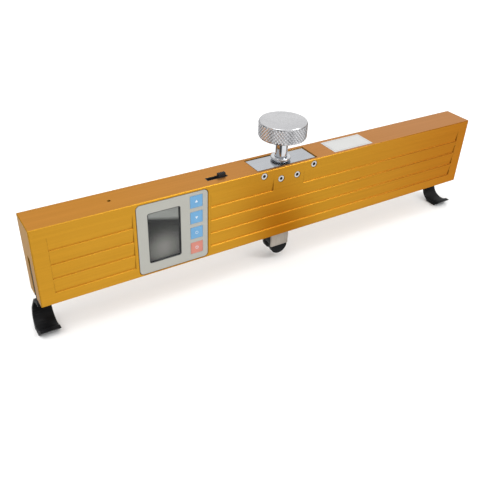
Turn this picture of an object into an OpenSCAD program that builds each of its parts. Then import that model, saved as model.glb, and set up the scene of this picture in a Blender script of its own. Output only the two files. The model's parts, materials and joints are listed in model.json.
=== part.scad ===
// Wire rope tension meter: a long slim case with a swinging hook at each end
// and a screw press in the middle that bends the rope between them.
// X runs along the rope, the display faces -Y, and the hooks stand on Z = 0.

/* [Case] */
// Length of the case
body_l = 400; // [380:1:440]
// Depth of the case, front face to rear face
body_d = 26.4; // [25.6:0.1:30]
// Height of the case
body_h = 61.5; // [60.5:0.5:68]
// Thickness of the top, bottom and end walls
wall_t = 3; // [2.6:0.1:3.6]
// Thickness of the front wall
front_t = 3.2; // [3:0.1:3.6]
// Thickness of the rear cover
cover_t = 2.4; // [2:0.1:2.8]
// Width of the broken outer edges
edge_cut = 0.5; // [0.2:0.1:1]

/* [Front ledges] */
// Number of stepped bands on the front face
band_count = 4; // [2:1:4]
// Height of one band
band_pitch = 11.4; // [9:0.1:12]
// Depth of each step
band_depth = 0.9; // [0.4:0.1:1.2]
// Height of the lowest step above the bottom of the case
band_low = 8.8; // [6:0.1:11]
// Plain margin between the bands and the ends of the case
band_margin = 10.8; // [6:0.1:20]
// Plain margin between the bands and the display panel
band_gap = 2.9; // [1.5:0.1:5]
// Half length of the break in the top band, under the bridge screws
band_break = 14.4; // [10:0.1:20]

/* [Display] */
// Middle of the display panel, left of the middle of the case
panel_x = 100; // [100:1:110]
// Width of the display panel
panel_w = 55.4; // [54:0.1:57]
// Height of the display panel
panel_h = 57.5; // [56.5:0.1:58.5]
// Thickness of the display panel
panel_t = 1; // [0.8:0.1:1.2]
// How far the panel stands proud of the front face
panel_rise = 0.2; // [0.1:0.1:0.4]
// Corner radius of the panel
panel_r = 3; // [1:0.1:5]
// Width of the display window
lcd_w = 24.7; // [22:0.1:26]
// Height of the display window
lcd_h = 41; // [36:0.1:44]
// Margin between the panel's left edge and the window
lcd_margin = 8.3; // [6:0.1:9]
// Depth of the display module behind the window
lcd_t = 5; // [4:0.1:6]

/* [Keys] */
// Width of a key
key_w = 10; // [8:0.1:10.6]
// Height of a key
key_h = 9.8; // [8:0.1:10.6]
// Distance between the middles of two keys
key_pitch = 13.2; // [13:0.1:14]
// Margin between the keys and the panel's right edge
key_margin = 4.2; // [3.8:0.1:5]
// How far a key stands proud of the panel
key_rise = 0.15; // [0.1:0.05:0.3]
// Travel of a key
key_travel = 0.5; // [0.3:0.1:0.6]

/* [Power switch] */
// Distance from the display panel to the switch slot
switch_gap = 4.6; // [4.4:0.1:5.5]
// Distance of the switch slot from the front face
switch_y = 9.4; // [9:0.1:10.4]
// Length of the switch slot
slot_l = 16; // [15:0.1:16.5]
// Width of the switch slot
slot_w = 3.6; // [3:0.1:4]
// Length of the slider
slider_l = 6; // [5:0.1:6.5]
// How far the slider stands above the case
slider_rise = 2.8; // [2:0.1:4]
// Travel of the slider
slider_travel = 8; // [4:0.1:8]

/* [Bridge] */
// Length of the window in the top wall
window_l = 54.8; // [54:0.1:56]
// Width of the rear rim behind the window, without the cover
window_rim = 1.3; // [1:0.1:2]
// Depth of the block's face below the top of the case
block_recess = 0.4; // [0.3:0.1:2]
// Height of the block under the top wall
block_h = 16; // [15:0.1:17]
// How far the block runs under the top wall past the window
block_lip = 6; // [4:0.1:6]
// Distance of the outer screws from the middle
screw_out_x = 23.4; // [20:0.1:24]
// Depth of the outer screws below the top of the case
screw_out_z = 3.9; // [3.6:0.1:4.5]
// Distance of the inner screws from the middle
screw_in_x = 7.6; // [7.2:0.1:10]
// Depth of the inner screws below the top of the case
screw_in_z = 9.4; // [8.5:0.1:11]
// Shank diameter of the bridge screws
screw_d = 3; // [2.5:0.1:3]
// Head diameter of the bridge screws
screw_head_d = 5.2; // [4.8:0.1:5.5]
// Head height of the bridge screws
screw_head_h = 1.8; // [1.5:0.1:2]

/* [Press] */
// Travel of the press
press_travel = 14; // [8:0.5:14.5]
// Diameter of the spindle
spindle_d = 8.4; // [7:0.1:8.6]
// Diameter of the spindle's neck between the collar and the knob
neck_d = 10; // [9:0.1:11]
// Diameter of the spindle's lower journal
journal_d = 6; // [5:0.1:6.4]
// Diameter of the hand knob
knob_d = 38; // [30:0.5:44]
// Height of the hand knob
knob_h = 12.6; // [10:0.1:14]
// Bare length of the spindle between the collar and the knob
stem_l = 16.4; // [12:0.1:22]
// Diameter of the stop collar
collar_d = 16; // [14:0.1:18]
// Height of the stop collar
collar_h = 2.2; // [2:0.1:4]
// Diameter of the threaded bush
bush_d = 11.3; // [10.4:0.1:12]
// How far the bush stands above the block
bush_rise = 0.9; // [0.8:0.1:3]
// Diameter of the bush flange under the block
flange_d = 16; // [14:0.1:20]
// Thickness of the bush flange
flange_t = 2; // [1.5:0.1:2.5]
// Diameter of the guide posts
post_d = 6; // [5:0.1:6.5]
// Distance of the guide posts from the middle
post_x = 22; // [20:0.1:24]
// Outer diameter of the guide bushes
guide_d = 9; // [8.5:0.1:10]
// Length of the crosshead
cross_l = 58; // [56:0.5:62]
// Width of the crosshead
cross_w = 16; // [15:0.1:18]
// Height of the crosshead
cross_h = 9; // [8.5:0.1:10]
// Diameter of the load cell
cell_d = 17; // [14:0.1:18]
// Height of the load cell
cell_h = 8.5; // [7:0.1:9]
// Width of the press bracket along the rope
bracket_w = 16.8; // [16:0.1:20]
// Depth of the press bracket across the rope
bracket_d = 14; // [13:0.1:15]
// Thickness of the bracket's two cheeks
cheek_t = 1.6; // [1.4:0.1:2]
// Thickness of the bracket's web
web_t = 4; // [3:0.1:5]
// Length of the bracket's cheeks below the web
cheek_l = 19.2; // [18:0.1:21]
// Radius of the half-round press shoe
shoe_r = 7.9; // [7.2:0.1:8]
// Radius at the root of the rope groove in the shoe
shoe_root_r = 4.8; // [4:0.1:5]
// Width of the rope groove in the shoe
shoe_groove_w = 5; // [4:0.1:6]
// Diameter of the pin that holds the shoe
shoe_pin_d = 4; // [3:0.1:4.5]

/* [Hooks] */
// Width of a hook along the rope
hook_w = 15.5; // [12:0.5:18]
// How far a hook reaches past the end of the case
hook_over = 4.3; // [2:0.1:6]
// Radius of the rope bowl
bowl_r = 10.2; // [8:0.1:10.6]
// Thickness of the hook round the bowl
bowl_wall = 2.6; // [2:0.1:3.2]
// Depth of the bowl's middle below the case
bowl_drop = 16.3; // [16:0.1:20]
// Height of the bowl's middle above the flat foot
foot_drop = 13.1; // [12.9:0.1:15]
// Reach of the foot in front of the bowl's middle
foot_front = 5; // [4.5:0.1:7]
// Reach of the foot behind the bowl's middle
foot_back = 4.6; // [4:0.1:6]
// Depth of the lip's flat top below the bowl's middle
lip_drop = 7.7; // [7:0.1:8.2]
// Reach of the lip's tip in front of the bowl's middle
lip_reach = 10.9; // [10:0.1:12]
// Lean of the hook's upper back, in degrees
back_lean = 24; // [10:1:26]
// Width of the hook's arm
arm_w = 14; // [12:0.1:15]
// Thickness of the hook's arm
arm_t = 5; // [4:0.1:5.4]
// Distance of the hook's pivot from the end of the case
pivot_in = 7.3; // [7.2:0.1:9]
// Height of the hook's pivot above the bottom of the case
pivot_up = 25.5; // [23:0.1:26]
// Diameter of the hook's pin
pivot_d = 6; // [5:0.1:7]
// Width of the slot for the arm
hook_slot_w = 6; // [5.8:0.1:6.6]

/* [Battery] */
// Diameter of a cell
battery_d = 17; // [16:0.1:17]
// Length of a cell
battery_l = 65; // [50:0.5:70]
// Middle of the battery, right of the middle of the case
battery_x = 102; // [98:1:110]

/* [Rear sockets] */
// Outer diameter of the charging socket
socket_d = 10; // [9:0.1:12]
// Diameter of the plug hole in the charging socket
plug_d = 5.5; // [5:0.1:6]
// Depth of the plug hole
plug_depth = 9; // [8:0.1:10]
// Width of the data port's mouth
port_w = 7.4; // [6.5:0.1:9]
// Height of the data port's mouth
port_h = 3.6; // [3:0.1:4.5]

/* [Clearances] */
// Radial clearance of a shaft in its bore
fit = 0.05; // [0.03:0.01:0.08]
// Gap between pieces that slide or lie side by side
gap = 0.3; // [0.2:0.05:0.4]

/* [Hidden] */
$fn = 48;
// Faces of the case
foot_z = bowl_drop + foot_drop;
front_y = -body_d / 2;
rear_y = body_d / 2;
seam_y = rear_y - cover_t;
inner_y = front_y + front_t;
base_z = foot_z;
top_z = base_z + body_h;
floor_z = base_z + wall_t;
roof_z = top_z - wall_t;
mid_z = base_z + body_h / 2;
end_x = body_l / 2;
// Cuts run past the faces that they open
past = 1;
// Broken edge of each step of the front face
band_cut_share = 0.45;
band_cut = band_depth * band_cut_share;

// Display stack, front to back
panel_y = front_y - panel_rise;
pocket_y = panel_y + panel_t;
lcd_x = -panel_x - panel_w / 2 + lcd_margin + lcd_w / 2;
lcd_frame = 0.8;
pane_sink = 0.2;
pane_r = 1.4;
lcd_y = pocket_y + pane_sink;
window_t = 1;
board_y = lcd_y + lcd_t;
board_t = 1.6;
board_h = body_h - 2 * wall_t - 2;
board_rim = 0.3;
standoff_d = 4;
standoff_z = board_h / 2 - standoff_d / 2 - board_rim;
board_screw_d = 2;
board_head_d = 3.4;
board_head_h = 1.4;
lcd_open_w = lcd_w + 2 * lcd_frame + 2 * gap;
lcd_open_h = lcd_h + 2 * lcd_frame + 2 * gap;

// Keys, top to bottom
key_count = 4;
key_lift = 1.2;
key_slip = 0.05;
key_x = -panel_x + panel_w / 2 - key_margin - key_w / 2;
key_column_z = mid_z + key_lift;
key_y = panel_y - key_rise;
key_gap = gap / 2;
key_flange = 0.6;
key_flange_t = 0.5;
key_flange_y = pocket_y + key_slip;
key_back_y = key_flange_y + key_flange_t;
key_stem_d = 2.6;
key_stem_in = 1;
key_open_w = key_w + 2 * key_flange + 2 * gap;
key_open_h = (key_count - 1) * key_pitch + key_h + 2 * key_flange + 2 * gap;
standoff_x = [lcd_x - lcd_open_w / 2 - standoff_d / 2 - gap, key_x + key_open_w / 2 + standoff_d / 2 + gap];
dome_w = 6;
dome_y = key_back_y + key_travel + gap;

// Power switch, with its slider at the right end of the travel
slot_x0 = -panel_x + panel_w / 2 + switch_gap;
slot_y = front_y + switch_y;
slider_w = slot_w - 2 * gap;
slider_x = slot_x0 + slot_l - (slot_l - slider_travel - slider_l) / 2 - slider_l;
slider_lip = 1;
slot_rim = 0.6;
rim_sink = 0.1;
switch_wall = 2;
switch_h = 8;
switch_depth = 4;

// Bridge and press, top to bottom
block_x = window_l / 2 + block_lip;
land_gap = gap / 2;
land_z = top_z - block_recess;
block_z = roof_z - block_h;
flange_z = block_z - flange_t;
bush_z = land_z + bush_rise;
washer_t = 1;
washer_d = 13;
cross_z = flange_z - gap - press_travel - washer_t;
cell_z = cross_z - cross_h;
web_z = cell_z - cell_h;
cheek_z = web_z - web_t;
bolt_d = 4;
bolt_head_d = 7;
bolt_head_h = 3;
bolt_hex = 3;
shoe_lead = 0.3;
shoe_z = cheek_z - cheek_l - shoe_lead;
shoe_top_z = cheek_z - bolt_head_h - past;
groove_flare = 0.6;
groove_rise = 2;
shoe_w = bracket_d - 2 * cheek_t - 2 * fit;
flange_in = 0.2;
flange_w = bracket_d - 2 * flange_in;
shoe_pin_z = shoe_z + shoe_r;
collar_z = bush_z + gap;
stem_z = collar_z + collar_h;
knob_z = stem_z + stem_l;
knob_cut = 0.9;
spindle_share = 0.65;
spindle_in = knob_h * spindle_share;
grub_d = 4;
grub_z = knob_z + spindle_in / 2;
ring_d = 10;
ring_t = 1.2;
pocket_d = 13;
pocket_h = 4;
post_in = 8;
post_seat = 1.5;
post_top_z = block_z + post_in;
screw_reach = 10;
screw_hex = 2.5;
// Share of a screw head's height that its socket takes
socket_share = 0.7;

// Hooks
pivot_x = end_x - pivot_in;
pivot_z = base_z + pivot_up;
hook_x1 = end_x + hook_over;
hook_x0 = hook_x1 - hook_w;
arm_x1 = pivot_x + arm_w / 2;
bowl_z = base_z - bowl_drop;
shell_r = bowl_r + bowl_wall;
slot_in_x = pivot_x - arm_w / 2 - gap;
slot_head = 1.9;
slot_top_z = pivot_z + arm_w / 2 + slot_head;
anchor_wall = 8;
anchor_x = slot_in_x - anchor_wall;
anchor_cap = 5;
anchor_top_z = slot_top_z + anchor_cap;
anchor_screw_d = 4;
anchor_screw_x = slot_in_x - anchor_wall / 2;
anchor_screw_up = 6;
anchor_screw_z = [floor_z + anchor_screw_up, anchor_top_z - anchor_cap];
pin_cover = 2;
pin_front_y = inner_y + pin_cover;

// Cover screws and their bosses
boss_d = 7;
boss_in = 35;
boss_clear = 2.5;
boss_mid_x = window_l / 2 + block_lip + boss_d / 2 + boss_clear;
boss_x = [-end_x + boss_in, -boss_mid_x, boss_mid_x, end_x - boss_in];
boss_sink = 0.8;
boss_z = [floor_z + boss_d / 2 - boss_sink, roof_z - boss_d / 2 + boss_sink];
cover_screw_d = 3;
cover_head_d = 5.6;
cover_head_h = 1.5;
cover_hex = 2;
cover_screw_l = 10;

// Battery
tray_t = 1.8;
tray_gap = gap;
tray_l = battery_l + 2 * tray_gap + 2 * tray_t;
cell_space = 1;
cell_pitch = battery_d + cell_space;
tray_h = 2 * battery_d + cell_space + 2 * tray_t;
battery_y = inner_y + tray_t + battery_d / 2;
tray_share = 0.7;
tray_deep = tray_t + battery_d * tray_share;

// Sockets in the rear cover
socket_pitch = 24;
socket_x = -panel_x - socket_pitch / 2;
port_x = -panel_x + socket_pitch / 2;
socket_z = mid_z;
socket_flange = 1.5;
socket_flange_t = 1.2;
nut_d = socket_d + 4;
nut_t = 2;
socket_wall = 2;
plug_pin_d = 2;
port_wall = 1.5;
port_depth = 6;

// Buzzer under the sound hole, between the outer boss and the board's posts
buzzer_share = 0.56;
buzzer_x = boss_x[0] + buzzer_share * (standoff_x[0] - boss_x[0]);
buzzer_d = 12;
buzzer_h = 7;
buzzer_port = 2;
sound_d = 2.4;

// Label on the top face
label_gap = 18.6;
label_x0 = window_l / 2 + label_gap;
label_l = 40;
label_w = 19.6;
label_t = 0.15;
label_margin = 2.7;

// A flat outline in X and Z, carried back along +Y from y
module along_y(y, length) {
    translate([0, y + length, 0])
        rotate([90, 0, 0])
            linear_extrude(length)
                children();
}

// A flat outline in Y and Z, carried along +X from x
module along_x(x, length) {
    translate([x, 0, 0])
        rotate([90, 0, 90])
            linear_extrude(length)
                children();
}

// A rectangle with round corners, about its middle
module round_rect(w, h, r) {
    square([w - 2 * r, h], center = true);
    square([w, h - 2 * r], center = true);
    for (x = [-1, 1], z = [-1, 1])
        translate([x * (w / 2 - r), z * (h / 2 - r)])
            circle(r);
}

// A rectangle with broken corners from one point to another
module cut_rect(a, b, e) {
    polygon([[a.x + e, a.y], [b.x - e, a.y], [b.x, a.y + e], [b.x, b.y - e],
             [b.x - e, b.y], [a.x + e, b.y], [a.x, b.y - e], [a.x, a.y + e]]);
}

// A rod along +Y from y
module rod_y(x, y, z, d, length) {
    translate([x, y, z])
        rotate([-90, 0, 0])
            cylinder(d = d, h = length);
}

// A hexagonal socket along +Y from y
module hex_y(x, y, z, across, depth) {
    translate([x, y, z])
        rotate([-90, 0, 0])
            cylinder(d = across / cos(30), h = depth, $fn = 6);
}

// The whole case with its edges broken, before it is hollowed
module case_block() {
    intersection() {
        along_x(-end_x, body_l)
            cut_rect([front_y, base_z], [rear_y, top_z], edge_cut);
        translate([0, 0, base_z])
            linear_extrude(body_h)
                cut_rect([-end_x, front_y], [end_x, rear_y], edge_cut);
        along_y(front_y, body_d)
            cut_rect([-end_x, base_z], [end_x, top_z], edge_cut);
    }
}

// One stepped band of the front face, from x0 to x1 above the step at z, whose edge is broken
module band(x0, x1, z) {
    lead = 0.2;
    along_x(x0, x1 - x0)
        polygon([[front_y + band_depth, z], [front_y + band_cut, z], [front_y - lead, z - band_cut - lead],
                 [front_y - lead, z + band_pitch * (1 + lead / band_depth)]]);
}

module front_bands() {
    left0 = -end_x + band_margin;
    left1 = -panel_x - panel_w / 2 - band_gap;
    right0 = -panel_x + panel_w / 2 + band_gap;
    right1 = end_x - band_margin;
    for (i = [0 : band_count - 1]) {
        z = base_z + band_low + i * band_pitch;
        band(left0, left1, z);
        if (i < band_count - 1)
            band(right0, right1, z);
        else {
            band(right0, -band_break, z);
            band(band_break, right1, z);
        }
    }
}

// Places of the eight bridge screws as x and z
bridge_spots = [for (s = [-1, 1]) each [[s * screw_out_x, top_z - screw_out_z],
                                        [s * screw_in_x, top_z - screw_in_z]]];

// Outline of the slot that lets a hook's arm swing out, as x and z
module hook_slot(x1) {
    translate([slot_in_x, base_z - past])
        square([x1 - slot_in_x, slot_top_z - base_z + past]);
}

// The two ends are alike: draws its children at the right and mirrored at the left
module both_ends() {
    children();
    mirror([1, 0, 0])
        children();
}

module case_colour() {
    color([0.8, 0.57, 0.15])
        children();
}

module housing() {
    case_colour()
        difference() {
            union() {
                difference() {
                    case_block();
                    translate([-end_x + wall_t, inner_y, floor_z])
                        cube([body_l - 2 * wall_t, body_d, body_h - 2 * wall_t]);
                    translate([-end_x - past, seam_y, base_z - past])
                        cube([body_l + 2 * past, body_d, body_h + 2 * past]);
                }
                for (x = boss_x, z = boss_z)
                    rod_y(x, inner_y - past, z, boss_d, seam_y - inner_y + past);
            }
            front_bands();
            for (x = boss_x, z = boss_z)
                rod_y(x, seam_y - cover_screw_l, z, cover_screw_d + 2 * fit, cover_screw_l + past);
            // Display pocket, with openings for the module and the keys
            along_y(front_y - past, pocket_y - front_y + past)
                translate([-panel_x, mid_z])
                    round_rect(panel_w + 2 * gap, panel_h + 2 * gap, panel_r + gap);
            along_y(front_y - past, front_t + 2 * past)
                translate([lcd_x, mid_z])
                    square([lcd_open_w, lcd_open_h], center = true);
            along_y(front_y - past, front_t + 2 * past)
                translate([key_x, key_column_z])
                    square([key_open_w, key_open_h], center = true);
            // Window for the bridge block, switch slot and sound hole in the top wall
            translate([-window_l / 2, inner_y, roof_z - past])
                cube([window_l, seam_y - window_rim - inner_y, wall_t + 2 * past]);
            translate([slot_x0 - slot_rim, slot_y - slot_w / 2 - slot_rim, roof_z - past])
                cube([slot_l + 2 * slot_rim, slot_w + 2 * slot_rim, wall_t + 2 * past]);
            translate([buzzer_x, 0, roof_z - past])
                cylinder(d = sound_d, h = wall_t + 2 * past);
            // Seats of the bridge screws
            for (p = bridge_spots) {
                rod_y(p.x, front_y - past, p.y, screw_head_d + gap, screw_head_h + past);
                rod_y(p.x, front_y, p.y, screw_d + 2 * fit, front_t + past);
                rod_y(p.x, seam_y - window_rim - past, p.y, screw_d + 2 * fit, window_rim + 2 * past);
            }
            // Opening for the press bracket and blind seats for the guide posts
            translate([-bracket_w / 2 - gap, -bracket_d / 2 - gap, base_z - past])
                cube([bracket_w + 2 * gap, bracket_d + 2 * gap, wall_t + 2 * past]);
            for (s = [-1, 1])
                translate([s * post_x, 0, floor_z - post_seat])
                    cylinder(d = post_d + 2 * fit, h = post_seat + past);
            both_ends()
                along_y(-hook_slot_w / 2, hook_slot_w)
                    hook_slot(end_x + past);
        }
}

module rear_cover() {
    case_colour()
        difference() {
            intersection() {
                case_block();
                translate([-end_x - past, seam_y, base_z - past])
                    cube([body_l + 2 * past, body_d, body_h + 2 * past]);
            }
            for (x = boss_x, z = boss_z) {
                rod_y(x, seam_y - past, z, cover_screw_d + 2 * fit, cover_t + 2 * past);
                cover_head(x, z, fit);
            }
            for (p = bridge_spots) {
                rod_y(p.x, rear_y - screw_head_h, p.y, screw_head_d + gap, screw_head_h + past);
                rod_y(p.x, seam_y - past, p.y, screw_d + 2 * fit, cover_t + 2 * past);
            }
            both_ends()
                for (z = anchor_screw_z)
                    rod_y(anchor_screw_x, seam_y - past, z, anchor_screw_d + 2 * fit, cover_t + 2 * past);
            rod_y(socket_x, seam_y - past, socket_z, socket_d + 2 * fit, cover_t + 2 * past);
            along_y(seam_y - past, cover_t + 2 * past)
                translate([port_x, socket_z])
                    square([port_w + 2 * gap, port_h + 2 * gap], center = true);
        }
}

// Countersunk head of a cover screw, or its seat when grown by a clearance
module cover_head(x, z, grow) {
    translate([x, rear_y - cover_head_h, z])
        rotate([-90, 0, 0])
            cylinder(d1 = cover_screw_d + 2 * grow, d2 = cover_head_d + 2 * grow, h = cover_head_h);
}

module cover_screws() {
    color([0.75, 0.75, 0.77])
        for (x = boss_x, z = boss_z)
            difference() {
                union() {
                    cover_head(x, z, 0);
                    rod_y(x, seam_y - cover_screw_l + gap, z, cover_screw_d,
                          cover_screw_l - gap + cover_t / 2);
                }
                hex_y(x, rear_y - cover_head_h * socket_share, z, cover_hex, cover_head_h);
            }
}

module bridge_block() {
    color([0.8, 0.82, 0.84])
        difference() {
            union() {
                translate([-block_x, inner_y, block_z])
                    cube([2 * block_x, seam_y - inner_y, block_h]);
                translate([-window_l / 2 + land_gap, inner_y + land_gap, roof_z - past])
                    cube([window_l - 2 * land_gap, seam_y - window_rim - inner_y - 2 * land_gap,
                          land_z - roof_z + past]);
            }
            translate([0, 0, block_z - past])
                cylinder(d = bush_d + 2 * fit, h = land_z - block_z + 2 * past);
            for (s = [-1, 1])
                translate([s * post_x, 0, block_z - past])
                    cylinder(d = post_d + 2 * fit, h = post_in + past);
            for (p = bridge_spots) {
                rod_y(p.x, inner_y - past, p.y, screw_d + 2 * fit, screw_reach - front_t + past);
                rod_y(p.x, rear_y - screw_reach, p.y, screw_d + 2 * fit, screw_reach - cover_t + past);
            }
        }
}

// Socket-head screw along +Y with its head's face at y
module cap_screw(x, y, z, length) {
    difference() {
        union() {
            rod_y(x, y, z, screw_head_d, screw_head_h);
            rod_y(x, y, z, screw_d, length);
        }
        hex_y(x, y - past, z, screw_hex, screw_head_h * socket_share + past);
    }
}

module bridge_screws() {
    color([0.82, 0.82, 0.84])
        for (p = bridge_spots) {
            cap_screw(p.x, front_y, p.y, screw_reach - gap);
            mirror([0, 1, 0])
                cap_screw(p.x, -rear_y, p.y, screw_reach - gap);
        }
}

module threaded_bush() {
    color([0.85, 0.85, 0.86])
        difference() {
            union() {
                translate([0, 0, flange_z])
                    cylinder(d = flange_d, h = flange_t);
                translate([0, 0, flange_z])
                    cylinder(d = bush_d, h = bush_z - flange_z);
            }
            translate([0, 0, flange_z - past])
                cylinder(d = spindle_d + 2 * fit, h = bush_z - flange_z + 2 * past);
        }
}

module guide_posts() {
    color([0.72, 0.73, 0.75])
        for (s = [-1, 1])
            translate([s * post_x, 0, floor_z - post_seat])
                cylinder(d = post_d, h = post_top_z - floor_z + post_seat);
}

module crosshead() {
    color([0.7, 0.71, 0.73])
        difference() {
            translate([-cross_l / 2, -cross_w / 2, cross_z - cross_h])
                cube([cross_l, cross_w, cross_h]);
            translate([0, 0, cross_z - cross_h - past])
                cylinder(d = journal_d + 2 * fit, h = cross_h + 2 * past);
            translate([0, 0, cross_z - cross_h - past])
                cylinder(d = pocket_d, h = pocket_h + past);
            for (s = [-1, 1])
                translate([s * post_x, 0, cross_z - cross_h - past])
                    cylinder(d = guide_d + 2 * fit, h = cross_h + 2 * past);
        }
}

module guide_bushes() {
    color([0.72, 0.5, 0.25])
        for (s = [-1, 1])
            translate([s * post_x, 0, cross_z - cross_h])
                difference() {
                    cylinder(d = guide_d, h = cross_h);
                    translate([0, 0, -past])
                        cylinder(d = post_d + 2 * fit, h = cross_h + 2 * past);
                }
}

module thrust_washer() {
    color([0.72, 0.5, 0.25])
        translate([0, 0, cross_z])
            difference() {
                cylinder(d = washer_d, h = washer_t);
                translate([0, 0, -past])
                    cylinder(d = journal_d + 2 * fit, h = washer_t + 2 * past);
            }
}

module load_cell() {
    rim_t = 2;
    waist = 1.2;
    color([0.78, 0.79, 0.8])
        difference() {
            translate([0, 0, web_z])
                rotate_extrude()
                    polygon([[0, 0], [cell_d / 2, 0], [cell_d / 2, rim_t], [cell_d / 2 - waist, rim_t],
                             [cell_d / 2 - waist, cell_h - rim_t], [cell_d / 2, cell_h - rim_t],
                             [cell_d / 2, cell_h], [0, cell_h]]);
            translate([0, 0, web_z - past])
                cylinder(d = bolt_d + 2 * fit, h = cell_h / 2 + past);
        }
}

module press_bracket() {
    color([0.68, 0.65, 0.61])
        difference() {
            translate([-bracket_w / 2, -bracket_d / 2, cheek_z - cheek_l])
                cube([bracket_w, bracket_d, cheek_l + web_t]);
            translate([-bracket_w / 2 - past, -bracket_d / 2 + cheek_t, cheek_z - cheek_l - past])
                cube([bracket_w + 2 * past, bracket_d - 2 * cheek_t, cheek_l + past]);
            translate([0, 0, cheek_z - past])
                cylinder(d = bolt_d + 2 * fit, h = web_t + 2 * past);
            rod_y(0, -bracket_d / 2 + cheek_t / 2, shoe_pin_z, shoe_pin_d + 2 * fit, bracket_d);
        }
}

module cell_bolt() {
    bolt_l = web_t + cell_h / 2 - gap;
    color([0.3, 0.3, 0.32])
        difference() {
            union() {
                translate([0, 0, cheek_z - bolt_head_h])
                    cylinder(d = bolt_head_d, h = bolt_head_h);
                translate([0, 0, cheek_z - bolt_head_h])
                    cylinder(d = bolt_d, h = bolt_head_h + bolt_l);
            }
            translate([0, 0, cheek_z - bolt_head_h - past])
                cylinder(d = bolt_hex / cos(30), h = bolt_head_h * socket_share + past, $fn = 6);
        }
}

module press_shoe() {
    color([0.1, 0.1, 0.11])
        difference() {
            union() {
                translate([-shoe_r, -shoe_w / 2, shoe_z])
                    cube([2 * shoe_r, shoe_w, shoe_top_z - shoe_z]);
                // Half-round flanges that come out under the cheeks
                along_y(-flange_w / 2, flange_w)
                    intersection() {
                        translate([0, shoe_z])
                            circle(shoe_r);
                        translate([-shoe_r, shoe_z - shoe_r])
                            square([2 * shoe_r, shoe_r]);
                    }
            }
            // Rope groove round the lower half
            intersection() {
                translate([0, 0, shoe_z])
                    rotate([90, 0, 0])
                        rotate_extrude()
                            polygon([[shoe_root_r, -shoe_groove_w / 2],
                                     [shoe_r + past, -shoe_groove_w / 2 - groove_flare],
                                     [shoe_r + past, shoe_groove_w / 2 + groove_flare],
                                     [shoe_root_r, shoe_groove_w / 2]]);
                translate([-shoe_r - past, -shoe_w / 2, shoe_z - shoe_r - past])
                    cube([2 * (shoe_r + past), shoe_w, shoe_r + past + groove_rise]);
            }
            rod_y(0, -bracket_d / 2, shoe_pin_z, shoe_pin_d + 2 * fit, bracket_d);
        }
}

module shoe_pin() {
    color([0.75, 0.76, 0.78])
        rod_y(0, -bracket_d / 2 + cheek_t / 2, shoe_pin_z, shoe_pin_d, bracket_d - cheek_t / 2);
}

module spindle() {
    color([0.78, 0.79, 0.81])
        union() {
            translate([0, 0, cross_z + washer_t + fit])
                cylinder(d = spindle_d, h = knob_z + spindle_in - cross_z - washer_t - fit);
            // The neck's shoulder carries the knob
            translate([0, 0, stem_z + gap])
                cylinder(d = neck_d, h = stem_l - gap - fit);
            translate([0, 0, cross_z - cross_h + pocket_h - 2 * ring_t])
                cylinder(d = journal_d, h = cross_h - pocket_h + 2 * ring_t + washer_t + past);
        }
}

module retaining_ring() {
    color([0.25, 0.25, 0.27])
        translate([0, 0, cross_z - cross_h + pocket_h - ring_t - fit])
            difference() {
                cylinder(d = ring_d, h = ring_t);
                translate([0, 0, -past])
                    cylinder(d = journal_d + 2 * fit, h = ring_t + 2 * past);
            }
}

module stop_collar() {
    cut = 0.4;
    color([0.87, 0.87, 0.88])
        translate([0, 0, collar_z])
            rotate_extrude()
                polygon([[spindle_d / 2 + fit, 0], [collar_d / 2 - cut, 0], [collar_d / 2, cut],
                         [collar_d / 2, collar_h - cut], [collar_d / 2 - cut, collar_h],
                         [spindle_d / 2 + fit, collar_h]]);
}

module hand_knob() {
    color([0.76, 0.76, 0.77])
        difference() {
            translate([0, 0, knob_z])
                rotate_extrude()
                    polygon([[0, 0], [knob_d / 2 - knob_cut, 0], [knob_d / 2, knob_cut],
                             [knob_d / 2, knob_h - knob_cut], [knob_d / 2 - knob_cut, knob_h], [0, knob_h]]);
            translate([0, 0, knob_z - past])
                cylinder(d = spindle_d + 2 * fit, h = spindle_in + past);
            rod_y(0, 0, grub_z, grub_d + 2 * fit, knob_d);
        }
}

module knob_grub() {
    grub_l = 6;
    socket = 2;
    color([0.25, 0.25, 0.27])
        difference() {
            rod_y(0, spindle_d / 2 + fit, grub_z, grub_d, grub_l);
            hex_y(0, spindle_d / 2 + grub_l - socket, grub_z, socket, socket + past);
        }
}

module display_panel() {
    color([0.79, 0.78, 0.73])
        difference() {
            along_y(panel_y, panel_t)
                translate([-panel_x, mid_z])
                    round_rect(panel_w, panel_h, panel_r);
            along_y(panel_y - past, panel_t + 2 * past)
                translate([lcd_x, mid_z])
                    round_rect(lcd_w + gap, lcd_h + gap, pane_r + gap / 2);
            for (i = [1 : key_count])
                along_y(panel_y - past, panel_t + 2 * past)
                    translate([key_x, key_spot(i)])
                        square([key_w + 2 * key_gap, key_h + 2 * key_gap], center = true);
        }
}

module display_window() {
    color([0.35, 0.37, 0.36])
        along_y(lcd_y - window_t, window_t)
            translate([lcd_x, mid_z])
                round_rect(lcd_w, lcd_h, pane_r);
}

module lcd_module() {
    color([0.2, 0.2, 0.21])
        along_y(lcd_y, lcd_t)
            translate([lcd_x, mid_z])
                square([lcd_w + 2 * lcd_frame, lcd_h + 2 * lcd_frame], center = true);
}

module main_board() {
    x0 = standoff_x[0] - standoff_d / 2 - board_rim;
    x1 = standoff_x[1] + standoff_d / 2 + board_rim;
    color([0.1, 0.35, 0.2])
        difference() {
            translate([x0, board_y, mid_z - board_h / 2])
                cube([x1 - x0, board_t, board_h]);
            for (x = standoff_x, s = [-1, 1])
                rod_y(x, board_y - past, mid_z + s * standoff_z, board_screw_d + 2 * fit, board_t + 2 * past);
        }
}

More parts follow.
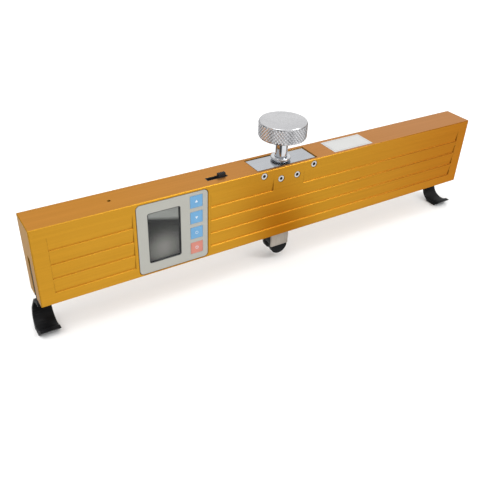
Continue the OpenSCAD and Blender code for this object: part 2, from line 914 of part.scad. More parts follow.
module board_standoffs() {
    color([0.75, 0.65, 0.4])
        for (x = standoff_x, s = [-1, 1])
            difference() {
                rod_y(x, inner_y, mid_z + s * standoff_z, standoff_d, board_y - inner_y);
                rod_y(x, inner_y + gap, mid_z + s * standoff_z, board_screw_d + 2 * fit, board_y - inner_y);
            }
}

module board_screws() {
    color([0.75, 0.76, 0.78])
        for (x = standoff_x, s = [-1, 1]) {
            rod_y(x, board_y + board_t, mid_z + s * standoff_z, board_head_d, board_head_h);
            rod_y(x, inner_y + 2 * gap, mid_z + s * standoff_z,
                  board_screw_d, board_y + board_t - inner_y - 2 * gap + board_head_h / 2);
        }
}

// Height of the middle of a key, counted from the top
function key_spot(i) = key_column_z + ((key_count + 1) / 2 - i) * key_pitch;

module key_switches() {
    color([0.12, 0.12, 0.13])
        for (i = [1 : key_count])
            difference() {
                translate([key_x - dome_w / 2, dome_y, key_spot(i) - dome_w / 2])
                    cube([dome_w, board_y - dome_y, dome_w]);
                rod_y(key_x, dome_y - past, key_spot(i), key_stem_d + gap,
                      key_stem_in + key_travel + gap + past);
            }
}

module key(i, shade) {
    color(shade)
        union() {
            along_y(key_y, key_flange_y - key_y + key_flange_t)
                translate([key_x, key_spot(i)])
                    square([key_w, key_h], center = true);
            along_y(key_flange_y, key_flange_t)
                translate([key_x, key_spot(i)])
                    square([key_w + 2 * key_flange, key_h + 2 * key_flange], center = true);
            rod_y(key_x, key_back_y - key_flange_t / 2, key_spot(i), key_stem_d,
                  dome_y - key_back_y + key_flange_t / 2 + key_stem_in);
        }
}

key_blue = [0.43, 0.67, 0.84];
key_red = [0.84, 0.58, 0.54];

module key_1() {
    key(1, key_blue);
}

module key_2() {
    key(2, key_blue);
}

module key_3() {
    key(3, key_blue);
}

module key_4() {
    key(4, key_red);
}

module power_switch() {
    channel_w = slot_w + 2 * slider_lip;
    body_w = channel_w + switch_wall;
    rim = slot_rim - fit;
    color([0.15, 0.15, 0.16])
        difference() {
            union() {
                translate([slot_x0 - switch_wall, slot_y - body_w / 2, roof_z - switch_h])
                    cube([slot_l + 2 * switch_wall, body_w, switch_h]);
                // Rim that lines the slot in the top wall
                translate([slot_x0 - rim, slot_y - slot_w / 2 - rim, roof_z - past])
                    cube([slot_l + 2 * rim, slot_w + 2 * rim, wall_t + past - rim_sink]);
            }
            translate([slot_x0, slot_y - channel_w / 2, roof_z - switch_depth])
                cube([slot_l, channel_w, switch_depth]);
            translate([slot_x0, slot_y - slot_w / 2, roof_z - past])
                cube([slot_l, slot_w, wall_t + 2 * past]);
        }
}

module power_slider() {
    foot_w = slider_w + 2 * slider_lip;
    foot_z = roof_z - switch_depth + gap;
    color([0.08, 0.08, 0.09])
        union() {
            translate([slider_x, slot_y - foot_w / 2, foot_z])
                cube([slider_l, foot_w, roof_z - gap - foot_z]);
            translate([slider_x, slot_y - slider_w / 2, foot_z])
                cube([slider_l, slider_w, top_z + slider_rise - foot_z]);
        }
}

module buzzer() {
    color([0.1, 0.1, 0.1])
        difference() {
            translate([buzzer_x, 0, roof_z - buzzer_h])
                cylinder(d = buzzer_d, h = buzzer_h);
            translate([buzzer_x, 0, roof_z - buzzer_port])
                cylinder(d = sound_d, h = buzzer_port + past);
        }
}

module battery_tray() {
    color([0.15, 0.15, 0.16])
        difference() {
            translate([battery_x - tray_l / 2, inner_y, mid_z - tray_h / 2])
                cube([tray_l, tray_deep, tray_h]);
            for (s = [-1, 1])
                translate([battery_x - battery_l / 2 - tray_gap, battery_y, mid_z + s * cell_pitch / 2])
                    rotate([0, 90, 0])
                        cylinder(d = battery_d + 2 * fit, h = battery_l + 2 * tray_gap);
            translate([battery_x - battery_l / 2 - tray_gap, battery_y, mid_z - tray_h / 2 + tray_t])
                cube([battery_l + 2 * tray_gap, tray_deep, tray_h - 2 * tray_t]);
        }
}

module battery_cells() {
    tip_d = 5.5;
    color([0.2, 0.4, 0.6])
        for (s = [-1, 1])
            translate([battery_x - battery_l / 2, battery_y, mid_z + s * cell_pitch / 2])
                rotate([0, 90, 0])
                    union() {
                        cylinder(d = battery_d, h = battery_l - past);
                        cylinder(d = tip_d, h = battery_l);
                    }
}

module charge_socket() {
    barrel = plug_depth + socket_wall;
    color([0.1, 0.1, 0.11])
        difference() {
            union() {
                rod_y(socket_x, rear_y - barrel, socket_z, socket_d, barrel);
                rod_y(socket_x, rear_y, socket_z, socket_d + 2 * socket_flange, socket_flange_t);
            }
            difference() {
                rod_y(socket_x, rear_y + socket_flange_t - plug_depth, socket_z, plug_d, plug_depth + past);
                rod_y(socket_x, rear_y - barrel, socket_z, plug_pin_d, barrel - 1);
            }
        }
}

module socket_nut() {
    color([0.78, 0.79, 0.8])
        difference() {
            hex_y(socket_x, seam_y - nut_t, socket_z, nut_d, nut_t);
            rod_y(socket_x, seam_y - nut_t - past, socket_z, socket_d + 2 * fit, nut_t + 2 * past);
        }
}

module data_port() {
    tongue_h = 1;
    tongue_in = 2;
    color([0.7, 0.71, 0.72])
        difference() {
            union() {
                along_y(seam_y, cover_t - gap)
                    translate([port_x, socket_z])
                        square([port_w, port_h], center = true);
                along_y(seam_y - port_depth, port_depth)
                    translate([port_x, socket_z])
                        square([port_w + 2 * port_wall, port_h + 2 * port_wall], center = true);
            }
            difference() {
                along_y(rear_y - port_depth, port_depth)
                    translate([port_x, socket_z])
                        square([port_w - port_wall / 2, port_h - port_wall / 2], center = true);
                along_y(rear_y - port_depth, port_depth - tongue_in)
                    translate([port_x, socket_z])
                        square([port_w - 3 * port_wall, tongue_h], center = true);
            }
        }
}

module hook_anchors() {
    color([0.6, 0.61, 0.63])
        both_ends()
            difference() {
                translate([anchor_x, inner_y, floor_z])
                    cube([end_x - wall_t - anchor_x, seam_y - inner_y, anchor_top_z - floor_z]);
                along_y(-hook_slot_w / 2, hook_slot_w)
                    hook_slot(end_x);
                rod_y(pivot_x, pin_front_y, pivot_z, pivot_d + 2 * fit, body_d);
                for (z = anchor_screw_z)
                    rod_y(anchor_screw_x, 0, z, anchor_screw_d + 2 * fit, body_d);
            }
}

module anchor_screws() {
    head_d = 7.5;
    head_h = 2.2;
    socket = 2.5;
    socket_depth = 1.4;
    color([0.75, 0.75, 0.77])
        both_ends()
            for (z = anchor_screw_z)
                difference() {
                    union() {
                        rod_y(anchor_screw_x, gap, z, anchor_screw_d, rear_y - gap);
                        rod_y(anchor_screw_x, rear_y, z, head_d, head_h);
                    }
                    hex_y(anchor_screw_x, rear_y + head_h - socket_depth, z, socket, socket_depth + past);
                }
}

module hook_pins() {
    color([0.78, 0.79, 0.8])
        both_ends()
            rod_y(pivot_x, pin_front_y, pivot_z, pivot_d, seam_y - pin_front_y);
}

// Outline of the bowl, the lip and the flat foot, as y and z
module bowl_outline() {
    reach = 3 * shell_r;
    difference() {
        union() {
            circle(shell_r);
            polygon([[-foot_front, -foot_drop], [foot_back, -foot_drop],
                     shell_r * [cos(30), -sin(30)], [0, 0], [-lip_reach, -lip_drop]]);
        }
        circle(bowl_r);
        // Mouth at the front, between the arm and the lip
        translate([-reach, -lip_drop])
            square([reach - arm_t / 2, reach]);
        // Upper back, straight and leaning forward to the arm
        polygon([[shell_r, 0], [reach, 0], [reach, reach], [shell_r - reach * tan(back_lean), reach]]);
    }
}

module hook() {
    arm_foot_z = bowl_z + bowl_r + bowl_wall / 4;
    color([0.12, 0.12, 0.13])
        difference() {
            union() {
                difference() {
                    along_x(hook_x0, hook_w)
                        translate([0, bowl_z])
                            bowl_outline();
                    // Outer side, drawn in from the foot to the arm
                    along_y(-body_d, 2 * body_d)
                        polygon([[hook_x1, 0], [hook_x1 + past, 0],
                                 [hook_x1 + past, base_z], [arm_x1, base_z]]);
                }
                along_y(-arm_t / 2, arm_t)
                    union() {
                        translate([pivot_x, pivot_z])
                            circle(d = arm_w);
                        translate([pivot_x - arm_w / 2, arm_foot_z])
                            square([arm_w, pivot_z - arm_foot_z]);
                    }
            }
            rod_y(pivot_x, -arm_t, pivot_z, pivot_d + 2 * fit, 2 * arm_t);
        }
}

module hook_right() {
    hook();
}

module hook_left() {
    mirror([1, 0, 0])
        hook();
}

module blank_label() {
    color([0.93, 0.93, 0.92])
        translate([label_x0, front_y + label_margin, top_z])
            cube([label_l, label_w, label_t]);
}

housing();
rear_cover();
cover_screws();
bridge_block();
bridge_screws();
threaded_bush();
guide_posts();
crosshead();
guide_bushes();
thrust_washer();
load_cell();
press_bracket();
cell_bolt();
press_shoe();
shoe_pin();
spindle();
retaining_ring();
stop_collar();
hand_knob();
knob_grub();
display_panel();
display_window();
lcd_module();
main_board();
board_standoffs();
board_screws();
key_switches();
key_1();
key_2();
key_3();
key_4();
power_switch();
power_slider();
buzzer();
battery_tray();
battery_cells();
charge_socket();
socket_nut();
data_port();
hook_anchors();
anchor_screws();
hook_pins();
hook_left();
hook_right();
blank_label();
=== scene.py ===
import json
import math
import bpy
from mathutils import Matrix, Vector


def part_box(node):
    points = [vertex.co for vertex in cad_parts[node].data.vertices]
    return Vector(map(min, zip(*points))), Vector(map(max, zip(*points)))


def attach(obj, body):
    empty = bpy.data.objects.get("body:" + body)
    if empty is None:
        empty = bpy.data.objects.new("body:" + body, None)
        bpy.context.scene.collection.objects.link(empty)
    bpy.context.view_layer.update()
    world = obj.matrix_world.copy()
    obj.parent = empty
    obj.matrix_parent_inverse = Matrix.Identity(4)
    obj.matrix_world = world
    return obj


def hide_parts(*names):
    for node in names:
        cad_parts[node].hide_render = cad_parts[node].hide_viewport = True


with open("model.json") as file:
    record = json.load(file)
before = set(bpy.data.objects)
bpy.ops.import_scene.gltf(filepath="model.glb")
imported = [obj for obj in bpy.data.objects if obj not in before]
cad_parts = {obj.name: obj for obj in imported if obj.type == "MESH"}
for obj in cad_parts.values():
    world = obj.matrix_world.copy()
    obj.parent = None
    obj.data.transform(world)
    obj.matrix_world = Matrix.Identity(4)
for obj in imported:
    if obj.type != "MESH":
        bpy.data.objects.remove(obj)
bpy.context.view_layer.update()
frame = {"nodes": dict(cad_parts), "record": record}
nodes = frame["nodes"]
slotOf = {part["node"]: part["material_slot"] for part in frame["record"]["subparts"]}
mm = 0.001
near = 0.01 * mm  # two heights closer than this are one
weld = 0.001 * mm  # points closer than this are merged
facesWay = 0.9  # a face whose normal has more than this along an axis faces that way
print("frame loaded with", len(nodes), "nodes")


# selecting and editing, as by hand

def clearSelection():
    if bpy.context.mode != "OBJECT":
        bpy.ops.object.mode_set(mode="OBJECT")
    bpy.ops.object.select_all(action="DESELECT")


def selectOnly(piece):
    clearSelection()
    piece.select_set(True)
    bpy.context.view_layer.objects.active = piece


def namePiece(name):
    piece = bpy.context.active_object
    piece.name = name
    piece.data.name = name
    return piece


def pickParts(piece, kind, test):
    # every flag is set, because one left from an earlier step would be edited too
    selectOnly(piece)
    mesh = piece.data
    kinds = {"points": mesh.vertices, "edges": mesh.edges, "faces": mesh.polygons}
    bpy.context.tool_settings.mesh_select_mode = [name == kind for name in kinds]
    for name, parts in kinds.items():
        for part in parts:
            part.select = name == kind and bool(test(part))
    bpy.ops.object.mode_set(mode="EDIT")


def pickFaces(piece, test):
    pickParts(piece, "faces", test)


def pickPoints(piece, test):
    pickParts(piece, "points", lambda point: test(point.co))


def pickEdges(piece, test):
    points = piece.data.vertices
    pickParts(piece, "edges", lambda edge: test(*(points[i].co for i in edge.vertices)))


def pickAll(piece):
    selectOnly(piece)
    bpy.ops.object.mode_set(mode="EDIT")
    bpy.ops.mesh.select_all(action="SELECT")


def extrude(way):
    bpy.ops.mesh.extrude_region_move(TRANSFORM_OT_translate={"value": way})


def resize(scale, centre):
    bpy.ops.transform.resize(value=scale, center_override=centre)


def closeMesh(piece):
    pickAll(piece)
    bpy.ops.mesh.remove_doubles(threshold=weld)
    bpy.ops.mesh.normals_make_consistent(inside=False)
    bpy.ops.object.mode_set(mode="OBJECT")


def settle(piece):
    # the place goes into the mesh, so that the object itself sits at the origin
    selectOnly(piece)
    bpy.ops.object.transform_apply(location=True, rotation=True, scale=True)


def roundEdges(piece, width, segments=2, angle=35):
    selectOnly(piece)
    bpy.ops.object.modifier_add(type="BEVEL")
    bevel = piece.modifiers[-1]
    bevel.width = width
    bevel.segments = segments
    bevel.limit_method = "ANGLE"
    bevel.angle_limit = math.radians(angle)
    bevel.miter_outer = "MITER_ARC"
    bpy.ops.object.modifier_apply(modifier=bevel.name)


def smooth(piece, angle=32):
    selectOnly(piece)
    bpy.ops.object.shade_smooth_by_angle(angle=math.radians(angle))


def boxAt(name, low, high):
    clearSelection()
    bpy.ops.mesh.primitive_cube_add(size=1, location=[(a + b) / 2 for a, b in zip(low, high)],
                                    scale=[b - a for a, b in zip(low, high)])
    piece = namePiece(name)
    settle(piece)
    return piece


def placePiece(piece, body, slot, *replaced):
    clearSelection()
    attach(piece, body)
    if replaced:
        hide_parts(*replaced)


# small tools for node trees

number, arrow = "NodeSocketFloat", "NodeSocketVector"
even = (1.0, 1.0, 1.0)
level = (1.0, 1.0, 0.0)  # keeps a place's X and Y
bellBase = 0.37  # a bell falls to this at its width


def newGroup(name, inputs, outputs):
    group = bpy.data.node_groups.new(name, "ShaderNodeTree")
    for label, kind, value in inputs:
        socket = group.interface.new_socket(name=label, in_out="INPUT", socket_type=kind)
        socket.default_value = value
    for label, kind in outputs:
        group.interface.new_socket(name=label, in_out="OUTPUT", socket_type=kind)
    return group, group.nodes.new("NodeGroupInput"), group.nodes.new("NodeGroupOutput")


def feed(tree, socket, value):
    if isinstance(value, bpy.types.NodeSocket):
        tree.links.new(value, socket)
    else:
        socket.default_value = value


def addNode(tree, kind, inputs=None, **settings):
    node = tree.nodes.new(kind)
    for key, value in settings.items():
        setattr(node, key, value)
    for key, value in (inputs or {}).items():
        feed(tree, node.inputs[key], value)
    return node


def doMath(tree, operation, a, b=0.0, clamp=False):
    return addNode(tree, "ShaderNodeMath", {0: a, 1: b}, operation=operation,
                   use_clamp=clamp).outputs[0]


def vectorMath(tree, operation, a, b=even):
    node = addNode(tree, "ShaderNodeVectorMath", {0: a, 1: b}, operation=operation)
    return node.outputs["Value" if operation in ("DOT_PRODUCT", "LENGTH", "DISTANCE") else "Vector"]


def remap(tree, value, low, high, outLow=0.0, outHigh=1.0):
    return addNode(tree, "ShaderNodeMapRange", {"Value": value, "From Min": low, "From Max": high,
                                                "To Min": outLow, "To Max": outHigh}).outputs[0]


def mixColour(tree, fac, a, b, blend="MIX"):
    # inputs 6 and 7 and output 2 are the node's colours
    node = addNode(tree, "ShaderNodeMix", data_type="RGBA", blend_type=blend, clamp_factor=True)
    for socket, value in ((node.inputs[0], fac), (node.inputs[6], a), (node.inputs[7], b)):
        feed(tree, socket, value)
    return node.outputs[2]


def rgba(colour, share=1.0):
    return (colour[0] * share, colour[1] * share, colour[2] * share, 1.0)


def tinted(tree, mask, colour, tint):
    return mixColour(tree, mask, colour, rgba(tint), "MULTIPLY")


def greyOf(tree, value):
    return addNode(tree, "ShaderNodeCombineColor", {0: value, 1: value, 2: value}).outputs[0]


def noiseOf(tree, **inputs):
    return addNode(tree, "ShaderNodeTexNoise", inputs).outputs[0]


def objectPlace(tree):
    return addNode(tree, "ShaderNodeTexCoord").outputs["Object"]


def splitPlace(tree):
    return addNode(tree, "ShaderNodeSeparateXYZ", {0: objectPlace(tree)}).outputs


def splitNormal(tree):
    normal = addNode(tree, "ShaderNodeNewGeometry").outputs["Normal"]
    return addNode(tree, "ShaderNodeSeparateXYZ", {0: normal}).outputs


def times(tree, *values):
    result = values[0]
    for value in values[1:]:
        result = doMath(tree, "MULTIPLY", result, value)
    return result


def sizeOf(tree, value):
    return doMath(tree, "ABSOLUTE", value)


# shader groups shared by the finishes

grainLook = {"scale": 900.0, "detail": 3.0, "roughness": 0.6, "span": (0.3, 0.7)}


def makeGrainGroup():
    # fine surface grain, drawn out along one axis by Stretch
    group, start, end = newGroup("fineGrain", [
        ("Scale", number, grainLook["scale"]), ("Stretch", arrow, even),
        ("Detail", number, grainLook["detail"])], [("Grain", number)])
    drawn = vectorMath(group, "MULTIPLY", objectPlace(group), start.outputs["Stretch"])
    noise = noiseOf(group, Vector=drawn, Scale=start.outputs["Scale"],
                    Detail=start.outputs["Detail"], Roughness=grainLook["roughness"])
    group.links.new(remap(group, noise, *grainLook["span"]), end.inputs["Grain"])
    return group


handlingLook = {"scale": 22.0, "contrast": 0.5, "detail": 4.0, "roughness": 0.55, "distortion": 0.6}


def makeHandlingGroup():
    # soft patches left by hands and storage
    group, start, end = newGroup("handling", [
        ("Scale", number, handlingLook["scale"]), ("Contrast", number, handlingLook["contrast"])],
        [("Patches", number)])
    broad = noiseOf(group, Vector=objectPlace(group), Scale=start.outputs["Scale"],
                    Detail=handlingLook["detail"], Roughness=handlingLook["roughness"],
                    Distortion=handlingLook["distortion"])
    half = doMath(group, "MULTIPLY", start.outputs["Contrast"], 0.5)
    low = doMath(group, "SUBTRACT", 0.5, half)
    high = doMath(group, "ADD", 0.5, half)
    group.links.new(remap(group, broad, low, high), end.inputs["Patches"])
    return group


wearAndPaintedLightLook = {"radius": 0.4 * mm, "strength": 3.0, "breakup": 260.0, "samples": 6, "detail": 5.0,
            "broken": (0.32, 0.62, 0.45, 1.0)}


def makeEdgeWearAndPaintedLightGroup():
    # worn edges, partly a painted edge highlight and on the dark bridge screw heads a painted edge
    # shade, where the rounded normal leaves the true one; and the rounded normal itself
    group, start, end = newGroup("edgeWearAndPaintedLight", [
        ("Radius", number, wearAndPaintedLightLook["radius"]), ("Strength", number, wearAndPaintedLightLook["strength"]),
        ("Breakup", number, wearAndPaintedLightLook["breakup"])], [("Mask", number), ("Normal", arrow)])
    soft = addNode(group, "ShaderNodeBevel", {"Radius": start.outputs["Radius"]},
                   samples=wearAndPaintedLightLook["samples"]).outputs[0]
    true = addNode(group, "ShaderNodeNewGeometry").outputs["Normal"]
    bend = doMath(group, "SUBTRACT", 1.0, vectorMath(group, "DOT_PRODUCT", soft, true), True)
    noise = noiseOf(group, Vector=objectPlace(group), Scale=start.outputs["Breakup"],
                    Detail=wearAndPaintedLightLook["detail"])
    broken = remap(group, noise, *wearAndPaintedLightLook["broken"])
    raised = doMath(group, "MULTIPLY", times(group, bend, start.outputs["Strength"]), broken, True)
    group.links.new(raised, end.inputs["Mask"])
    group.links.new(soft, end.inputs["Normal"])
    return group


scratchLook = {"scale": 60.0, "stretch": (1.0, 12.0, 12.0), "width": 0.02, "detail": 1.0,
               "distortion": 0.4, "gateScale": 35.0, "gateDetail": 2.0, "gate": (0.52, 0.62)}


def makeScratchGroup():
    # sparse hairline marks
    group, start, end = newGroup("hairlines", [
        ("Scale", number, scratchLook["scale"]), ("Stretch", arrow, scratchLook["stretch"]),
        ("Width", number, scratchLook["width"])], [("Marks", number)])
    place = objectPlace(group)
    drawn = vectorMath(group, "MULTIPLY", place, start.outputs["Stretch"])
    noise = noiseOf(group, Vector=drawn, Scale=start.outputs["Scale"], Detail=scratchLook["detail"],
                    Distortion=scratchLook["distortion"])
    off = sizeOf(group, doMath(group, "SUBTRACT", noise, 0.5))
    line = remap(group, off, 0.0, start.outputs["Width"], 1.0, 0.0)
    gate = noiseOf(group, Vector=place, Scale=scratchLook["gateScale"],
                   Detail=scratchLook["gateDetail"])
    group.links.new(times(group, line, remap(group, gate, *scratchLook["gate"])),
                    end.inputs["Marks"])
    return group


ringsLook = {"pitch": 0.4 * mm, "unevenScale": 0.37, "unevenDetail": 2.0}


def makeRingsGroup():
    # tool rings of a turned face, about the upright axis through Centre
    group, start, end = newGroup("turnedRings", [
        ("Centre", arrow, (0.0, 0.0, 0.0)), ("Pitch", number, ringsLook["pitch"])],
        [("Rings", number)])
    moved = vectorMath(group, "SUBTRACT", objectPlace(group), start.outputs["Centre"])
    reach = vectorMath(group, "LENGTH", vectorMath(group, "MULTIPLY", moved, level))
    turn = doMath(group, "DIVIDE", reach, start.outputs["Pitch"])
    wave = doMath(group, "SINE", times(group, turn, 2 * math.pi))
    uneven = addNode(group, "ShaderNodeTexNoise",
                     {"W": turn, "Scale": ringsLook["unevenScale"],
                      "Detail": ringsLook["unevenDetail"]}, noise_dimensions="1D")
    group.links.new(times(group, remap(group, wave, -1.0, 1.0), uneven.outputs[0]),
                    end.inputs["Rings"])
    return group


groups = {"grain": makeGrainGroup(), "handling": makeHandlingGroup(), "wearAndPaintedLight": makeEdgeWearAndPaintedLightGroup(),
          "scratch": makeScratchGroup(), "rings": makeRingsGroup()}
print("shader groups made:", len(groups))


def useGroup(tree, key, **inputs):
    node = tree.nodes.new("ShaderNodeGroup")
    node.node_tree = groups[key]
    for label, value in inputs.items():
        node.inputs[label].default_value = value
    return node


def useGrain(tree, scale, stretch=even):
    return useGroup(tree, "grain", Scale=scale, Stretch=stretch).outputs["Grain"]


def usePatches(tree, scale, contrast=handlingLook["contrast"]):
    return useGroup(tree, "handling", Scale=scale, Contrast=contrast).outputs["Patches"]


def newMaterial(name):
    material = bpy.data.materials.new(name)
    material.use_nodes = True
    tree = material.node_tree
    shader = next(n for n in tree.nodes if n.type == "BSDF_PRINCIPLED")
    return material, tree, shader


def addBump(tree, shader, height, strength, distance, **inputs):
    bump = addNode(tree, "ShaderNodeBump",
                   {"Strength": strength, "Distance": distance, "Height": height, **inputs})
    tree.links.new(bump.outputs[0], shader.inputs["Normal"])


# the case's colour: painted shade makes the front deeper to the right and low in the middle,
# painted light makes the top paler and redder, the ends are paler and redder too, and painted
# shadows line the panel, the bridge block and the screw heads
goldToneAndShade = {
    "end": (0.46, 0.300, 0.190),
    "paintedTopLeft": (0.515, 0.228, 0.048), "paintedTopRight": (0.490, 0.240, 0.125), "paintedTopSpan": (-0.15, 0.15),
    "rightShadeTint": (0.96, 0.72, 0.78), "rightShadeSpan": (0.04, 0.20),
    "deepShadeTint": (0.68, 0.50, 0.24), "deepTop": (-0.022, 0.086), "deepFoot": (-0.003, 0.034),
    "deepWidth": 0.030, "deepLift": 0.010, "deepShare": (0.35, 1.0),
    "stepShadeTint": (0.52, 0.46, 0.46), "stepShadeSpan": (0.02, 0.13), "stepUp": (0.3, 0.5),
    "stepFront": (-0.3, -0.5),
    "panelShadowTint": (0.30, 0.24, 0.22), "shadowLineWidth": 0.5 * mm, "shadowLineShift": 0.2 * mm,
    "panelCorner": 3.0 * mm,
    "windowLow": (-27.4 * mm, -10.0 * mm), "windowHigh": (27.4 * mm, 9.5 * mm),
    "windowShadowTint": (0.12, 0.10, 0.10),
    "screwSpots": [(-23.4 * mm, 87.0 * mm), (-7.6 * mm, 81.5 * mm), (7.6 * mm, 81.5 * mm),
                   (23.4 * mm, 87.0 * mm)],
    "screwRadius": 2.65 * mm, "screwShadowWidth": 0.3 * mm, "screwShadowShift": 0.32 * mm,
    "screwShadowTint": (0.12, 0.09, 0.07),
    "front": (-0.3, -0.7), "flank": (0.6, 0.9), "flat": (0.75, 0.95), "skin": (1.0 * mm, 0.6 * mm)}


def nearBox(tree, ways, low, high, corner, width, shift=0.0, fade=0.3 * mm):
    # 1 in a round-cornered box and a width round it, shifted to the right and down or forwards
    squares = []
    for way, least, most, side in zip(ways, low, high, (shift, -shift)):
        gone = sizeOf(tree, doMath(tree, "SUBTRACT", way, (least + most) / 2 + side))
        gone = doMath(tree, "SUBTRACT", gone, (most - least) / 2 - corner)
        gone = doMath(tree, "MAXIMUM", gone, 0.0)
        squares.append(times(tree, gone, gone))
    away = doMath(tree, "SQRT", doMath(tree, "ADD", squares[0], squares[1]))
    return remap(tree, away, corner + width, corner + width + fade, 1.0, 0.0)


def deepShadePatch(tree, toneAndShade, place):
    # painted shade: a bell across the case that leans to the right as it goes down
    (topX, topZ), (footX, footZ) = toneAndShade["deepTop"], toneAndShade["deepFoot"]
    middle = remap(tree, place["Z"], topZ, footZ, topX, footX)
    off = doMath(tree, "DIVIDE", doMath(tree, "SUBTRACT", place["X"], middle), toneAndShade["deepWidth"])
    bell = doMath(tree, "POWER", bellBase, times(tree, off, off))
    return times(tree, bell,
                 remap(tree, place["Z"], topZ, footZ + toneAndShade["deepLift"], *toneAndShade["deepShare"]))


def paintCaseToneAndShade(tree, toneAndShade, colour):
    place, facing = splitPlace(tree), splitNormal(tree)
    front = remap(tree, facing["Y"], *toneAndShade["front"])
    # painted shade: the front darker to the right
    colour = tinted(tree, times(tree, remap(tree, place["X"], *toneAndShade["rightShadeSpan"]), front), colour,
                    toneAndShade["rightShadeTint"])
    # painted shade low in the middle of the front
    colour = tinted(tree, times(tree, deepShadePatch(tree, toneAndShade, place), front), colour, toneAndShade["deepShadeTint"])
    # painted shade: the broken edges of the steps are duller to the right
    edge = times(tree, remap(tree, facing["Z"], *toneAndShade["stepUp"]),
                 remap(tree, facing["Y"], *toneAndShade["stepFront"]),
                 remap(tree, place["X"], *toneAndShade["stepShadeSpan"]))
    colour = tinted(tree, edge, colour, toneAndShade["stepShadeTint"])
    # painted shadow: a dark line where the display panel is let in and rings round the heads of the
    # bridge screws, both shifted to the right and down
    low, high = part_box("display_panel")
    shadowLine = nearBox(tree, (place["X"], place["Z"]), (low.x, low.z), (high.x, high.z),
                   toneAndShade["panelCorner"], toneAndShade["shadowLineWidth"], toneAndShade["shadowLineShift"])
    colour = tinted(tree, times(tree, shadowLine, front), colour, toneAndShade["panelShadowTint"])
    flank = remap(tree, sizeOf(tree, facing["Y"]), *toneAndShade["flank"])
    upright = addNode(tree, "ShaderNodeCombineXYZ", {0: place["X"], 2: place["Z"]}).outputs[0]
    radius = toneAndShade["screwRadius"]
    # painted shadow ring off the lower right of each bridge screw head
    for x, z in toneAndShade["screwSpots"]:
        away = vectorMath(tree, "DISTANCE", upright,
                          (x + toneAndShade["screwShadowShift"], 0.0, z - toneAndShade["screwShadowShift"]))
        ring = remap(tree, away, radius, radius + toneAndShade["screwShadowWidth"], 1.0, 0.0)
        colour = tinted(tree, times(tree, ring, flank), colour, toneAndShade["screwShadowTint"])
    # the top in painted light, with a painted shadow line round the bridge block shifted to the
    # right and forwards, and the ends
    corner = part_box("housing")[1]
    deep, shallow = toneAndShade["skin"]
    above = remap(tree, place["Z"], corner.z - deep, corner.z - shallow)
    tops = times(tree, remap(tree, facing["Z"], *toneAndShade["flat"]), above)
    top = mixColour(tree, remap(tree, place["X"], *toneAndShade["paintedTopSpan"]), rgba(toneAndShade["paintedTopLeft"]),
                    rgba(toneAndShade["paintedTopRight"]))
    shadowLine = nearBox(tree, (place["X"], place["Y"]), toneAndShade["windowLow"], toneAndShade["windowHigh"], 0.0,
                   toneAndShade["shadowLineWidth"], toneAndShade["shadowLineShift"])
    colour = mixColour(tree, tops, colour, tinted(tree, shadowLine, top, toneAndShade["windowShadowTint"]))
    outside = remap(tree, sizeOf(tree, place["X"]), corner.x - deep, corner.x - shallow)
    ends = times(tree, remap(tree, sizeOf(tree, facing["X"]), *toneAndShade["flat"]), outside)
    return mixColour(tree, ends, colour, rgba(toneAndShade["end"]))


def paintKnurlShadeAndHighlight(tree, look, colour):
    # painted shade in the roots and painted highlight on the crests of a knurl about the upright
    # axis
    reach = vectorMath(tree, "LENGTH", vectorMath(tree, "MULTIPLY", objectPlace(tree), level))
    shade = remap(tree, reach, look["root"], look["crest"], look["dark"], look["light"])
    side = remap(tree, sizeOf(tree, splitNormal(tree)["Z"]), *look["side"], 1.0, 0.0)
    return mixColour(tree, side, colour, greyOf(tree, shade), "MULTIPLY")


# one builder for metal, paint and plastic finishes; each has settings over the common ones

commonLook = {"metallic": 1.0, "grainStretch": even, "wearAndPaintedLightRadius": 0.3 * mm, "patchContrast": 0.6,
              "bumpDepth": 0.2 * mm, "scratchScale": 55.0, "scratchRough": 0.15}

